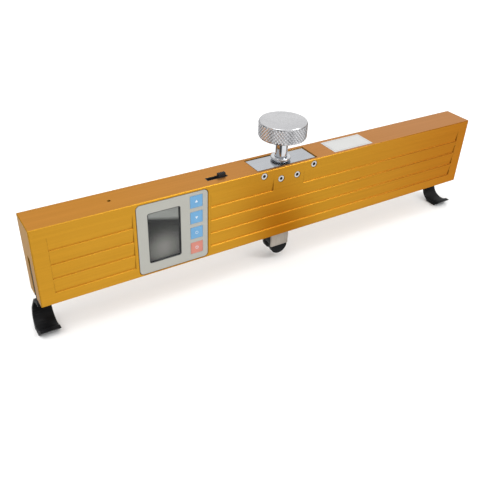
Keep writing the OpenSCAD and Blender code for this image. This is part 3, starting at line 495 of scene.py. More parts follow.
finishes = {
    "gold_case": {
        "colour": (0.545, 0.275, 0.026), "tone": (0.522, 0.250, 0.019), "metallic": 0.92,
        "rough": (0.36, 0.42), "grainScale": 1500.0, "grainStretch": (0.012, 1.0, 1.0),
        "grainBump": 0.02, "grainTone": 0.03, "patchScale": 5.0, "wearAndPaintedLightColour": (0.68, 0.42, 0.12),
        "wearAndPaintedLightRadius": 0.5 * mm, "wearAndPaintedLightStrength": 0.5, "scratch": 0.05,
        "edgeTint": (0.95, 0.72, 0.40), "toneAndShade": goldToneAndShade, "streakScale": 420.0,
        "streakStretch": (0.018, 1.0, 1.0), "streakTone": 0.045},
    "bridge_steel": {
        "colour": (0.48, 0.495, 0.52), "tone": (0.41, 0.425, 0.45), "metallic": 0.97,
        "rough": (0.05, 0.10), "grainScale": 1400.0, "grainStretch": (0.02, 1.0, 1.0),
        "grainBump": 0.03, "grainTone": 0.06, "patchScale": 30.0, "wearAndPaintedLightColour": (0.9, 0.92, 0.95),
        "wearAndPaintedLightRadius": 0.4 * mm, "wearAndPaintedLightStrength": 2.0, "scratch": 0.2},
    "chrome_steel": {
        "colour": (0.63, 0.645, 0.67), "tone": (0.56, 0.575, 0.60), "rough": (0.03, 0.08),
        "grainScale": 700.0, "grainStretch": (1.0, 1.0, 0.2), "grainBump": 0.01, "grainTone": 0.05,
        "patchScale": 60.0, "wearAndPaintedLightColour": (0.9, 0.9, 0.9), "wearAndPaintedLightStrength": 1.0,
        "ringPitch": 0.5 * mm, "ringBump": 0.04, "scratch": 0.15},
    "knob_silver": {
        "colour": (0.60, 0.60, 0.61), "tone": (0.50, 0.50, 0.515), "metallic": 0.95,
        "rough": (0.20, 0.30), "grainScale": 900.0, "grainBump": 0.03, "grainTone": 0.08,
        "patchScale": 40.0, "wearAndPaintedLightColour": (0.86, 0.86, 0.87), "wearAndPaintedLightRadius": 0.08 * mm,
        "wearAndPaintedLightStrength": 2.0, "ringPitch": 0.55 * mm, "ringBump": 0.012, "scratch": 0.15,
        "knurlShadeAndHighlight": {"root": 18.45 * mm, "crest": 19.0 * mm, "dark": 0.95, "light": 1.6,
                    "side": (0.6, 0.8)}},
    "ground_steel": {
        "colour": (0.58, 0.59, 0.61), "tone": (0.48, 0.49, 0.51), "rough": (0.22, 0.34),
        "grainScale": 500.0, "grainStretch": (1.0, 1.0, 0.04), "grainBump": 0.05, "grainTone": 0.12,
        "patchScale": 50.0, "wearAndPaintedLightColour": (0.8, 0.8, 0.8), "wearAndPaintedLightStrength": 1.5},
    "bronze": {
        "colour": (0.52, 0.29, 0.10), "tone": (0.40, 0.20, 0.07), "rough": (0.30, 0.44),
        "grainScale": 600.0, "grainStretch": (1.0, 1.0, 0.1), "grainBump": 0.06, "grainTone": 0.15,
        "patchScale": 60.0, "wearAndPaintedLightColour": (0.8, 0.55, 0.25), "wearAndPaintedLightStrength": 1.5},
    "bracket_grey": {
        "colour": (0.40, 0.355, 0.305), "tone": (0.33, 0.29, 0.25), "metallic": 0.55,
        "rough": (0.42, 0.56), "grainScale": 900.0, "grainStretch": (1.0, 1.0, 0.12),
        "grainBump": 0.08, "grainTone": 0.14, "patchScale": 70.0, "wearAndPaintedLightColour": (0.72, 0.69, 0.64),
        "wearAndPaintedLightRadius": 0.4 * mm, "wearAndPaintedLightStrength": 2.2, "scratch": 0.4},
    "black_steel": {
        "colour": (0.004, 0.004, 0.0045), "tone": (0.008, 0.008, 0.009), "metallic": 0.1,
        "rough": (0.38, 0.52), "grainScale": 1500.0, "grainBump": 0.16, "grainTone": 0.25,
        "patchScale": 45.0, "wearAndPaintedLightColour": (0.16, 0.16, 0.165), "wearAndPaintedLightRadius": 0.6 * mm,
        "wearAndPaintedLightStrength": 2.4, "scratch": 0.3, "specular": 0.10},
    "screw_steel": {
        "colour": (0.55, 0.56, 0.58), "tone": (0.44, 0.45, 0.47), "rough": (0.20, 0.32),
        "grainScale": 900.0, "grainBump": 0.04, "grainTone": 0.12, "patchScale": 140.0,
        "wearAndPaintedLightColour": (0.85, 0.85, 0.86), "wearAndPaintedLightStrength": 2.0},
    # painted shade: dark rims and dark sockets on the bridge screw heads
    "bridge_head": {
        "colour": (0.66, 0.65, 0.63), "tone": (0.54, 0.53, 0.52), "rough": (0.22, 0.34),
        "grainScale": 900.0, "grainBump": 0.04, "grainTone": 0.12, "patchScale": 260.0,
        "wearAndPaintedLightColour": (0.060, 0.055, 0.050), "wearAndPaintedLightRadius": 0.2 * mm, "wearAndPaintedLightStrength": 1.0,
        "paintedSocketShade": (12.4 * mm, 12.5 * mm)},
    "dark_screw": {
        "colour": (0.040, 0.040, 0.044), "tone": (0.065, 0.064, 0.066), "metallic": 0.7,
        "rough": (0.34, 0.48), "grainScale": 1200.0, "grainBump": 0.08, "grainTone": 0.2,
        "patchScale": 120.0, "wearAndPaintedLightColour": (0.3, 0.3, 0.31), "wearAndPaintedLightStrength": 2.2},
    "panel_grey": {
        "colour": (0.395, 0.395, 0.358), "tone": (0.366, 0.361, 0.323), "metallic": 0.0,
        "rough": (0.38, 0.50), "grainScale": 2600.0, "grainBump": 0.06, "grainTone": 0.05,
        "patchScale": 24.0, "wearAndPaintedLightColour": (0.75, 0.74, 0.70), "wearAndPaintedLightStrength": 1.2,
        "gasket": "display_window", "gasketCorner": 1.2 * mm, "gasketWidth": 0.35 * mm,
        "gasketColour": (0.015, 0.015, 0.016)},
    "standoff_brass": {
        "colour": (0.62, 0.42, 0.14), "tone": (0.50, 0.33, 0.10), "rough": (0.2, 0.34),
        "grainScale": 600.0, "grainStretch": (1.0, 0.06, 1.0), "grainBump": 0.04, "grainTone": 0.12,
        "patchScale": 140.0, "wearAndPaintedLightColour": (0.85, 0.66, 0.3), "wearAndPaintedLightRadius": 0.2 * mm,
        "wearAndPaintedLightStrength": 1.4},
    "switch_black": {
        "colour": (0.013, 0.013, 0.014), "tone": (0.022, 0.022, 0.024), "metallic": 0.0,
        "rough": (0.36, 0.5), "grainScale": 2200.0, "grainBump": 0.12, "grainTone": 0.2,
        "patchScale": 120.0, "wearAndPaintedLightColour": (0.08, 0.08, 0.085), "wearAndPaintedLightStrength": 2.0,
        "specular": 0.2},
    "key_blue": {
        "colour": (0.130, 0.335, 0.560), "tone": (0.110, 0.300, 0.52), "metallic": 0.0,
        "rough": (0.34, 0.46), "grainScale": 2600.0, "grainBump": 0.05, "grainTone": 0.06,
        "patchScale": 110.0, "wearAndPaintedLightColour": (0.42, 0.62, 0.80), "wearAndPaintedLightStrength": 1.4},
    "key_red": {
        "colour": (0.57, 0.205, 0.155), "tone": (0.52, 0.18, 0.135), "metallic": 0.0,
        "rough": (0.34, 0.46), "grainScale": 2600.0, "grainBump": 0.05, "grainTone": 0.06,
        "patchScale": 110.0, "wearAndPaintedLightColour": (0.85, 0.55, 0.5), "wearAndPaintedLightStrength": 1.4},
    "socket_black": {
        "colour": (0.014, 0.014, 0.015), "tone": (0.024, 0.024, 0.026), "metallic": 0.0,
        "rough": (0.28, 0.42), "grainScale": 2000.0, "grainBump": 0.08, "grainTone": 0.2,
        "patchScale": 110.0, "wearAndPaintedLightColour": (0.09, 0.09, 0.095), "wearAndPaintedLightStrength": 2.0,
        "specular": 0.25},
    "port_metal": {
        "colour": (0.56, 0.57, 0.58), "tone": (0.46, 0.47, 0.48), "rough": (0.18, 0.3),
        "grainScale": 900.0, "grainStretch": (1.0, 0.08, 1.0), "grainBump": 0.03, "grainTone": 0.1,
        "patchScale": 150.0, "wearAndPaintedLightColour": (0.8, 0.8, 0.8), "wearAndPaintedLightRadius": 0.2 * mm,
        "wearAndPaintedLightStrength": 1.4},
    "mark_pale": {
        "colour": (0.62, 0.70, 0.76), "tone": (0.56, 0.63, 0.70), "metallic": 0.0,
        "rough": (0.5, 0.6), "grainScale": 3000.0, "grainBump": 0.04, "grainTone": 0.05,
        "patchScale": 200.0, "wearAndPaintedLightColour": (0.7, 0.78, 0.84), "wearAndPaintedLightRadius": 0.1 * mm,
        "wearAndPaintedLightStrength": 0.5},
}


def shadeBy(tree, colour, value, darker, lighter):
    shade = remap(tree, value, 0.0, 1.0, 1.0 - darker, 1.0 + lighter)
    return mixColour(tree, 1.0, colour, greyOf(tree, shade), "MULTIPLY")


def makeFinish(name, settings):
    look = {**commonLook, **settings}
    material, tree, shader = newMaterial(name)
    grain = useGrain(tree, look["grainScale"], look["grainStretch"])
    patches = usePatches(tree, look["patchScale"], look["patchContrast"])
    wearAndPaintedLight = useGroup(tree, "wearAndPaintedLight", Radius=look["wearAndPaintedLightRadius"], Strength=look["wearAndPaintedLightStrength"])
    colour = mixColour(tree, patches, rgba(look["colour"]), rgba(look["tone"]))
    rough = remap(tree, patches, 0.0, 1.0, *look["rough"])
    height = times(tree, grain, look["grainBump"])
    if "toneAndShade" in look:
        colour = paintCaseToneAndShade(tree, look["toneAndShade"], colour)
    if "gasket" in look:
        low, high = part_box(look["gasket"])
        place = splitPlace(tree)
        rim = nearBox(tree, (place["X"], place["Z"]), (low.x, low.z), (high.x, high.z),
                      look["gasketCorner"], look["gasketWidth"])
        colour = mixColour(tree, rim, colour, rgba(look["gasketColour"]))
    # painted shade in the screw sockets, deeper than their mouths
    if "paintedSocketShade" in look:
        inside = remap(tree, sizeOf(tree, splitPlace(tree)["Y"]), *look["paintedSocketShade"], 1.0, 0.0)
        colour = mixColour(tree, inside, colour, rgba(look["wearAndPaintedLightColour"]))
    # painted shade in the knurl's roots and painted highlight on its crests
    if "knurlShadeAndHighlight" in look:
        colour = paintKnurlShadeAndHighlight(tree, look["knurlShadeAndHighlight"], colour)
    colour = shadeBy(tree, colour, grain, look["grainTone"], look["grainTone"] * 0.5)
    if "streakTone" in look:
        streaks = useGrain(tree, look["streakScale"], look["streakStretch"])
        colour = shadeBy(tree, colour, streaks, look["streakTone"], look["streakTone"])
    if "scratch" in look:
        marks = useGroup(tree, "scratch", Scale=look["scratchScale"]).outputs["Marks"]
        amount = times(tree, marks, look["scratch"])
        colour = mixColour(tree, amount, colour, rgba(look["wearAndPaintedLightColour"]))
        rough = doMath(tree, "ADD", rough, times(tree, amount, look["scratchRough"]))
    # edge wear and painted light: the bright edges stand partly for highlights, the dark rims of
    # the bridge screw heads for shade
    colour = mixColour(tree, wearAndPaintedLight.outputs["Mask"], colour, rgba(look["wearAndPaintedLightColour"]))
    if "ringBump" in look:
        rings = useGroup(tree, "rings", Pitch=look["ringPitch"]).outputs["Rings"]
        height = doMath(tree, "ADD", height, times(tree, rings, look["ringBump"]))
    tree.links.new(colour, shader.inputs["Base Color"])
    tree.links.new(rough, shader.inputs["Roughness"])
    addBump(tree, shader, height, 1.0, look["bumpDepth"], Normal=wearAndPaintedLight.outputs["Normal"])
    shader.inputs["Metallic"].default_value = look["metallic"]
    if "specular" in look:
        shader.inputs["Specular IOR Level"].default_value = look["specular"]
    if "edgeTint" in look:
        shader.inputs["Specular Tint"].default_value = rgba(look["edgeTint"])
    return material


finish = {name: makeFinish(name, look) for name, look in finishes.items()}
print("plain finishes made:", len(finish))


# finishes with a make-up of their own

windowLook = {"tint": (0.90, 0.92, 0.92), "dull": 0.95, "rough": (0.02, 0.07), "ior": 1.22,
              "patchScale": 70.0}


def makeWindowFinish():
    material, tree, shader = newMaterial("window_clear")
    patches = usePatches(tree, windowLook["patchScale"])
    tree.links.new(remap(tree, patches, 0.0, 1.0, *windowLook["rough"]), shader.inputs["Roughness"])
    tint = mixColour(tree, patches, rgba(windowLook["tint"]),
                     rgba(windowLook["tint"], windowLook["dull"]))
    tree.links.new(tint, shader.inputs["Base Color"])
    shader.inputs["Transmission Weight"].default_value = 1.0
    shader.inputs["IOR"].default_value = windowLook["ior"]
    return material


lcdLook = {"deep": (0.002, 0.002, 0.002), "pale": (0.31, 0.296, 0.272), "paintedSheen": (0.48, 0.48, 0.45),
           "paintedGlow": (0.48, 0.24), "paintedGlowSize": (0.50, 0.27), "slant": 0.16, "band": (0.86, 0.93),
           "paintedSheenShare": 0.8, "filmScale": 3200.0, "filmShare": 0.05, "rough": (0.26, 0.36),
           "specular": 0.1}


def makeLcdFinish():
    # the unlit display: a grey film with a painted reflection, paler to its lower half and in a
    # slanting band at the top
    material, tree, shader = newMaterial("lcd_dark")
    low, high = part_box("lcd_module")
    place = splitPlace(tree)
    across = remap(tree, place["X"], low.x, high.x)
    up = remap(tree, place["Z"], low.z, high.z)
    top = remap(tree, doMath(tree, "ADD", up, times(tree, across, lcdLook["slant"])),
                *lcdLook["band"])
    # the painted reflection's pale part lies low and fades to all sides
    squares = []
    for way, middle, size in zip((across, up), lcdLook["paintedGlow"], lcdLook["paintedGlowSize"]):
        off = doMath(tree, "DIVIDE", doMath(tree, "SUBTRACT", way, middle), size)
        squares.append(times(tree, off, off))
    body = doMath(tree, "POWER", bellBase, doMath(tree, "ADD", squares[0], squares[1]))
    film = useGrain(tree, lcdLook["filmScale"])
    colour = mixColour(tree, body, rgba(lcdLook["deep"]), rgba(lcdLook["pale"]))
    # painted reflection: the slanting sheen band, and the film grain in the same pale colour
    for mask, share in ((top, lcdLook["paintedSheenShare"]), (film, lcdLook["filmShare"])):
        colour = mixColour(tree, times(tree, mask, share), colour, rgba(lcdLook["paintedSheen"]))
    tree.links.new(colour, shader.inputs["Base Color"])
    tree.links.new(remap(tree, film, 0.0, 1.0, *lcdLook["rough"]), shader.inputs["Roughness"])
    shader.inputs["Specular IOR Level"].default_value = lcdLook["specular"]
    return material


boardLook = {"mask": (0.012, 0.085, 0.035), "dull": 0.8, "trace": (0.020, 0.150, 0.060),
             "pitch": 620.0, "traceWidth": 0.06, "gap": (0.4, 0.4, 0.4), "gateScale": 160.0,
             "gateDetail": 1.0, "gate": (0.46, 0.52), "patchScale": 60.0, "rough": (0.26, 0.4),
             "bump": 0.4, "bumpDepth": 0.1 * mm}


def makeBoardFinish():
    material, tree, shader = newMaterial("board_green")
    place = objectPlace(tree)
    bricks = addNode(tree, "ShaderNodeTexBrick", {
        "Vector": place, "Scale": boardLook["pitch"], "Mortar Size": boardLook["traceWidth"],
        "Color1": rgba(even, 0.0), "Color2": rgba(boardLook["gap"]), "Mortar": rgba(even)})
    gate = noiseOf(tree, Vector=place, Scale=boardLook["gateScale"], Detail=boardLook["gateDetail"])
    lines = times(tree, bricks.outputs["Fac"], remap(tree, gate, *boardLook["gate"]))
    patches = usePatches(tree, boardLook["patchScale"])
    base = mixColour(tree, patches, rgba(boardLook["mask"]),
                     rgba(boardLook["mask"], boardLook["dull"]))
    tree.links.new(mixColour(tree, lines, base, rgba(boardLook["trace"])),
                   shader.inputs["Base Color"])
    tree.links.new(remap(tree, patches, 0.0, 1.0, *boardLook["rough"]), shader.inputs["Roughness"])
    addBump(tree, shader, lines, boardLook["bump"], boardLook["bumpDepth"])
    return material


cellLook = {"wrap": (0.030, 0.135, 0.36), "dull": 0.82, "band": (0.62, 0.63, 0.64),
            "bandWidth": 6.0 * mm, "bandFade": 0.2 * mm, "endFacing": (0.7, 0.8),
            "filmScale": 1200.0, "filmStretch": (0.2, 1.0, 1.0), "patchScale": 50.0,
            "rough": (0.22, 0.34), "bump": 0.15, "bumpDepth": 0.2 * mm}


def makeCellFinish():
    # shrink wrap with a pale band at one end and bare steel on the end faces
    material, tree, shader = newMaterial("cell_wrap")
    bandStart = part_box("battery_cells")[1].x - cellLook["bandWidth"]
    band = remap(tree, splitPlace(tree)["X"], bandStart, bandStart + cellLook["bandFade"])
    endFace = remap(tree, sizeOf(tree, splitNormal(tree)["X"]), *cellLook["endFacing"])
    film = useGrain(tree, cellLook["filmScale"], cellLook["filmStretch"])
    patches = usePatches(tree, cellLook["patchScale"])
    wrap = mixColour(tree, patches, rgba(cellLook["wrap"]),
                     rgba(cellLook["wrap"], cellLook["dull"]))
    colour = mixColour(tree, doMath(tree, "MAXIMUM", band, endFace), wrap, rgba(cellLook["band"]))
    tree.links.new(colour, shader.inputs["Base Color"])
    tree.links.new(endFace, shader.inputs["Metallic"])
    tree.links.new(remap(tree, film, 0.0, 1.0, *cellLook["rough"]), shader.inputs["Roughness"])
    addBump(tree, shader, film, cellLook["bump"], cellLook["bumpDepth"])
    return material


labelLook = {"paper": (0.53, 0.53, 0.52), "dull": 0.93, "line": (0.30, 0.30, 0.30),
             "inset": 1.6 * mm, "lineSpan": (0.15 * mm, 0.24 * mm), "grainScale": 1800.0,
             "patchScale": 60.0, "rough": (0.42, 0.58), "bump": 0.12, "bumpDepth": 0.1 * mm}


def makeLabelFinish():
    # a bare label with one thin border line
    material, tree, shader = newMaterial("label_white")
    low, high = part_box("blank_label")
    place = splitPlace(tree)
    away = []
    for axis, label in enumerate("XY"):
        off = sizeOf(tree, doMath(tree, "SUBTRACT", place[label], (low[axis] + high[axis]) / 2))
        away.append(doMath(tree, "SUBTRACT", off,
                           (high[axis] - low[axis]) / 2 - labelLook["inset"]))
    reach = sizeOf(tree, doMath(tree, "MAXIMUM", away[0], away[1]))
    line = remap(tree, reach, *labelLook["lineSpan"], 1.0, 0.0)
    paper = useGrain(tree, labelLook["grainScale"])
    patches = usePatches(tree, labelLook["patchScale"])
    base = mixColour(tree, patches, rgba(labelLook["paper"]),
                     rgba(labelLook["paper"], labelLook["dull"]))
    tree.links.new(mixColour(tree, line, base, rgba(labelLook["line"])),
                   shader.inputs["Base Color"])
    tree.links.new(remap(tree, paper, 0.0, 1.0, *labelLook["rough"]), shader.inputs["Roughness"])
    addBump(tree, shader, paper, labelLook["bump"], labelLook["bumpDepth"])
    return material


finish["window_clear"] = makeWindowFinish()
finish["lcd_dark"] = makeLcdFinish()
finish["board_green"] = makeBoardFinish()
finish["cell_wrap"] = makeCellFinish()
finish["label_white"] = makeLabelFinish()
print("finishes made:", len(finish))


def coat(piece, name):
    piece.data.materials.clear()
    piece.data.materials.append(finish[name])


for name, node in nodes.items():
    coat(node, slotOf[name])


# hand knob: a diamond knurl between two turned chamfers

knobShape = {"columns": 92, "rows": 8, "tooth": 0.55 * mm, "chamfer": 0.3 * mm,
             "chamferHeight": 0.35 * mm, "rim": 1.2 * mm, "sideLean": 0.6, "grubHole": 2.05 * mm,
             "grubUp": 4.095 * mm, "grubSides": 32, "grubPlace": 0.7}


def drillGrubHole(knob, low, radius):
    # bored from the rear
    clearSelection()
    bpy.ops.mesh.primitive_cylinder_add(
        vertices=knobShape["grubSides"], radius=knobShape["grubHole"], depth=radius,
        location=(0, radius * knobShape["grubPlace"], low.z + knobShape["grubUp"]),
        rotation=(math.pi / 2, 0, 0))
    drill = namePiece("grubDrill")
    settle(drill)
    selectOnly(knob)
    bpy.ops.object.modifier_add(type="BOOLEAN")
    cut = knob.modifiers[-1]
    cut.object = drill
    cut.operation = "DIFFERENCE"
    bpy.ops.object.modifier_apply(modifier=cut.name)
    selectOnly(drill)
    bpy.ops.object.delete()


def makeKnob():
    low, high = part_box("hand_knob")
    radius = (high.x - low.x) / 2
    root = radius - knobShape["tooth"]
    bandLow, bandHigh = low.z + knobShape["chamferHeight"], high.z - knobShape["chamferHeight"]
    clearSelection()
    bpy.ops.mesh.primitive_cylinder_add(vertices=knobShape["columns"], radius=root,
                                        depth=bandHigh - bandLow,
                                        location=(0, 0, (bandLow + bandHigh) / 2))
    knob = namePiece("handKnob")
    settle(knob)
    pickEdges(knob, lambda a, b: abs(a.z - b.z) > near)
    bpy.ops.mesh.subdivide(number_cuts=knobShape["rows"] - 1)
    rowStep = (bandHigh - bandLow) / knobShape["rows"]
    columnStep = 2 * math.pi / knobShape["columns"]

    def isTooth(co):
        row = round((co.z - bandLow) / rowStep)
        column = round(math.atan2(co.x, co.y) / columnStep)
        return 0 < row < knobShape["rows"] and (row + column) % 2 == 0

    pickPoints(knob, isTooth)
    resize((radius / root, radius / root, 1), (0, 0, bandLow))
    pickFaces(knob, lambda f: abs(f.normal.z) < knobShape["sideLean"])
    bpy.ops.mesh.quads_convert_to_tris(quad_method="SHORTEST_DIAGONAL")
    # both ends: a chamfer, then a flat face with a ring of faces round it
    shrink = (root - knobShape["chamfer"]) / root
    for end, z in ((1, bandHigh), (-1, bandLow)):
        pickFaces(knob, lambda f: f.normal.z * end > facesWay and abs(f.center.z - z) < near)
        extrude((0, 0, end * knobShape["chamferHeight"]))
        resize((shrink, shrink, 1), (0, 0, z))
        bpy.ops.mesh.inset(thickness=knobShape["rim"], depth=0)
    drillGrubHole(knob, low, radius)
    selectOnly(knob)
    bpy.ops.object.shade_flat()
    coat(knob, "knob_silver")
    placePiece(knob, "hand_wheel", "knob_silver", "hand_knob")


makeKnob()
print("hand knob made")


# slide switch button: a ribbed cap on a wider foot

sliderShape = {"ribs": 5, "ribHeight": 0.45 * mm, "edge": 0.14 * mm, "edgeAngle": 40,
               "footHeight": 1.2 * mm, "neckWidth": 3.0 * mm}


def makeSlider():
    low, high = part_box("power_slider")
    midY = (low.y + high.y) / 2
    half = sliderShape["neckWidth"] / 2
    topZ = high.z - sliderShape["ribHeight"]
    slider = boxAt("powerSlider", (low.x, midY - half, low.z + sliderShape["footHeight"]),
                   (high.x, midY + half, topZ))
    pickEdges(slider, lambda a, b: min(a.z, b.z) > topZ - near and abs(a.x - b.x) > near)
    stripes = 2 * sliderShape["ribs"] - 1
    bpy.ops.mesh.subdivide(number_cuts=stripes - 1)
    stripe = (high.x - low.x) / stripes
    pickFaces(slider,
              lambda f: f.normal.z > facesWay and int((f.center.x - low.x) / stripe) % 2 == 0)
    extrude((0, 0, sliderShape["ribHeight"]))
    pickFaces(slider, lambda f: f.normal.z < -facesWay)
    extrude((0, 0, 0))
    resize((1, (high.y - low.y) / sliderShape["neckWidth"], 1), (0, midY, 0))
    extrude((0, 0, -sliderShape["footHeight"]))
    closeMesh(slider)
    roundEdges(slider, sliderShape["edge"], angle=sliderShape["edgeAngle"])
    smooth(slider)
    coat(slider, "switch_black")
    placePiece(slider, "power_slider", "switch_black", "power_slider")


makeSlider()
print("slide switch button made")


# keys: crowned caps on a flange and a stem

keyShape = {"capDepth": 1.2 * mm, "corner": 0.45 * mm, "cornerSteps": 4, "crownInset": 0.3 * mm,
            "crown": 0.06 * mm, "flange": 0.6 * mm, "flangeDepth": 0.5 * mm, "stem": 2.6 * mm,
            "smooth": 40}


def makeKeyCap(name, node):
    low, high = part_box(node)
    width, height = high.x - low.x, high.z - low.z
    grow = keyShape["flange"]
    # the flange and stem lie behind the cap, so the cap's outline is the box less the flange
    capBack = low.y + keyShape["capDepth"]
    cap = boxAt(name, (low.x + grow, low.y + keyShape["crown"], low.z + grow),
                (high.x - grow, capBack, high.z - grow))
    pickEdges(cap, lambda a, b: abs(a.y - b.y) > near)
    bpy.ops.mesh.bevel(offset=keyShape["corner"], segments=keyShape["cornerSteps"], affect="EDGES")
    pickFaces(cap, lambda f: f.normal.y < -facesWay)
    bpy.ops.mesh.inset(thickness=keyShape["crownInset"], depth=keyShape["crown"])
    pickFaces(cap, lambda f: f.normal.y > facesWay)
    extrude((0, 0, 0))
    resize((width / (width - 2 * grow), 1, height / (height - 2 * grow)),
           ((low.x + high.x) / 2, 0, (low.z + high.z) / 2))
    extrude((0, keyShape["flangeDepth"], 0))
    bpy.ops.mesh.inset(thickness=(height - keyShape["stem"]) / 2, depth=0)
    extrude((0, high.y - capBack - keyShape["flangeDepth"], 0))
    closeMesh(cap)
    smooth(cap, keyShape["smooth"])
    return cap


# a raised generic sign on each key; shares are of the sign's size

signSize = 2.3 * mm
signShape = {"depth": 0.05 * mm, "arrow": 0.62 * signSize, "arrowCorner": 0.2 * mm, "arrowSteps": 3,
             "ring": 0.55 * signSize, "ringSides": 48, "ringLine": 0.32 * mm,
             "ringGap": 0.24 * signSize, "barWidth": 0.34 * mm, "barLow": 0.05 * signSize,
             "barHigh": 0.72 * signSize}


def raiseSign(sign, midX, frontY, midZ):
    # the flat outline drawn in X and Y stands up in the cap's face, half of it sunk
    pickAll(sign)
    extrude((0, 0, signShape["depth"] * 2))
    bpy.ops.object.mode_set(mode="OBJECT")
    sign.rotation_euler = (math.pi / 2, 0, 0)
    sign.location = (midX, frontY + signShape["depth"], midZ)
    settle(sign)
    pickAll(sign)
    bpy.ops.mesh.normals_make_consistent(inside=False)
    bpy.ops.object.mode_set(mode="OBJECT")


def arrowSign(name, turn=0.0):
    clearSelection()
    bpy.ops.mesh.primitive_circle_add(vertices=3, radius=signShape["arrow"], fill_type="NGON")
    sign = namePiece(name)
    sign.rotation_euler = (0, 0, turn)
    settle(sign)
    pickAll(sign)
    bpy.ops.mesh.bevel(offset=signShape["arrowCorner"], segments=signShape["arrowSteps"],
                       affect="VERTICES")
    return sign


def ringSign(name, gap=0.0):
    clearSelection()
    bpy.ops.mesh.primitive_circle_add(vertices=signShape["ringSides"], radius=signShape["ring"],
                                      fill_type="NGON")
    sign = namePiece(name)
    pickAll(sign)
    bpy.ops.mesh.inset(thickness=signShape["ringLine"], depth=0)
    bpy.ops.mesh.delete(type="FACE")
    if gap:
        pickFaces(sign, lambda f: f.center.y > 0 and abs(f.center.x) < gap)
        bpy.ops.mesh.delete(type="FACE")
    return sign


def barSign(name):
    low, high = signShape["barLow"], signShape["barHigh"]
    clearSelection()
    bpy.ops.mesh.primitive_plane_add(size=1, location=(0, (low + high) / 2, 0))
    sign = namePiece(name)
    sign.scale = (signShape["barWidth"], high - low, 1)
    settle(sign)
    return sign


keySigns = {
    1: ("key_blue", lambda: [arrowSign("keySignUp")]),
    2: ("key_blue", lambda: [arrowSign("keySignDown", math.pi)]),
    3: ("key_blue", lambda: [ringSign("keySignSet")]),
    4: ("key_red", lambda: [ringSign("keySignRing", signShape["ringGap"]), barSign("keySignBar")]),
}


def makeKeys():
    for count, (slot, drawSigns) in keySigns.items():
        node = "key_%d" % count
        low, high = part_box(node)
        cap = makeKeyCap("keyCap%d" % count, node)
        coat(cap, slot)
        placePiece(cap, node, slot, node)
        for sign in drawSigns():
            raiseSign(sign, (low.x + high.x) / 2, low.y, (low.z + high.z) / 2)
            coat(sign, "mark_pale")
            placePiece(sign, node, slot)


makeKeys()
print("keys made")


# display module: a bezel round a sunk film

lcdShape = {"bezel": 1.3 * mm, "sink": 0.25 * mm, "edge": 0.2 * mm, "film": 0.1 * mm,
            "round": 0.1 * mm, "roundAngle": 60}


def makeLcd():
    low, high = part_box("lcd_module")
    module = boxAt("displayModule", low, high)
    pickFaces(module, lambda f: f.normal.y < -facesWay)
    bpy.ops.mesh.inset(thickness=lcdShape["bezel"], depth=0)
    bpy.ops.mesh.inset(thickness=lcdShape["edge"], depth=-lcdShape["sink"])
    bpy.ops.object.mode_set(mode="OBJECT")
    coat(module, "switch_black")
    module.data.materials.append(finish["lcd_dark"])
    for face in module.data.polygons:
        if face.normal.y < -facesWay and face.center.y > low.y + lcdShape["film"]:
            face.material_index = 1
    roundEdges(module, lcdShape["round"], angle=lcdShape["roundAngle"])
    placePiece(module, "case", "lcd_dark", "lcd_module")


makeLcd()
print("display module made")


# pieces whose CAD shape is right and that only need their edges broken: name, body and width

softMerge = 0.002 * mm  # points of a CAD copy closer than this are merged
softFlat = 1.0  # faces that lean apart by fewer degrees become one
softEdges = {
    "hook_left": ("hookLeft", "hook_left", 0.5 * mm),
    "hook_right": ("hookRight", "hook_right", 0.5 * mm),
    "press_bracket": ("pressBracket", "press", 0.25 * mm),
    "press_shoe": ("pressShoe", "press", 0.3 * mm),
    "stop_collar": ("stopCollar", "hand_wheel", 0.2 * mm),
    "threaded_bush": ("threadedBush", "case", 0.2 * mm),
    "bridge_screws": ("bridgeScrews", "case", 0.4 * mm),
    "anchor_screws": ("anchorScrews", "case", 0.3 * mm),
    "cover_screws": ("coverScrews", "case", 0.12 * mm),
    "charge_socket": ("chargeSocket", "case", 0.2 * mm),
}
softCoats = {"bridge_screws": "bridge_head"}  # a finish other than the slot's


def makeSoftPieces():
    for node, (name, body, width) in softEdges.items():
        selectOnly(nodes[node])
        bpy.ops.object.duplicate()
        piece = namePiece(name)
        pickAll(piece)
        bpy.ops.mesh.remove_doubles(threshold=softMerge)
        bpy.ops.mesh.dissolve_limited(angle_limit=math.radians(softFlat))
        bpy.ops.object.mode_set(mode="OBJECT")
        bpy.ops.mesh.customdata_custom_splitnormals_clear()
        roundEdges(piece, width)
        smooth(piece)
        coat(piece, softCoats.get(node, slotOf[node]))
        placePiece(piece, body, slotOf[node], node)


makeSoftPieces()
print("edges broken on", len(softEdges), "pieces")


# floor, lights and camera

floorLook = {"size": 30, "pale": (0.92, 0.92, 0.92), "paler": (0.94, 0.94, 0.94), "patchScale": 1.5,
             "rough": 0.8, "specular": 0.1}


def makeStage():
    clearSelection()
    bpy.ops.mesh.primitive_plane_add(size=floorLook["size"], location=(0, 0, 0))
    floor = namePiece("studioFloor")
    material, tree, shader = newMaterial("floor_pale")
    patches = usePatches(tree, floorLook["patchScale"])
    tree.links.new(mixColour(tree, patches, rgba(floorLook["pale"]), rgba(floorLook["paler"])),
                   shader.inputs["Base Color"])
    shader.inputs["Roughness"].default_value = floorLook["rough"]
    shader.inputs["Specular IOR Level"].default_value = floorLook["specular"]
    floor.data.materials.append(material)
    floor.visible_glossy = False  # polished pieces mirror the room instead


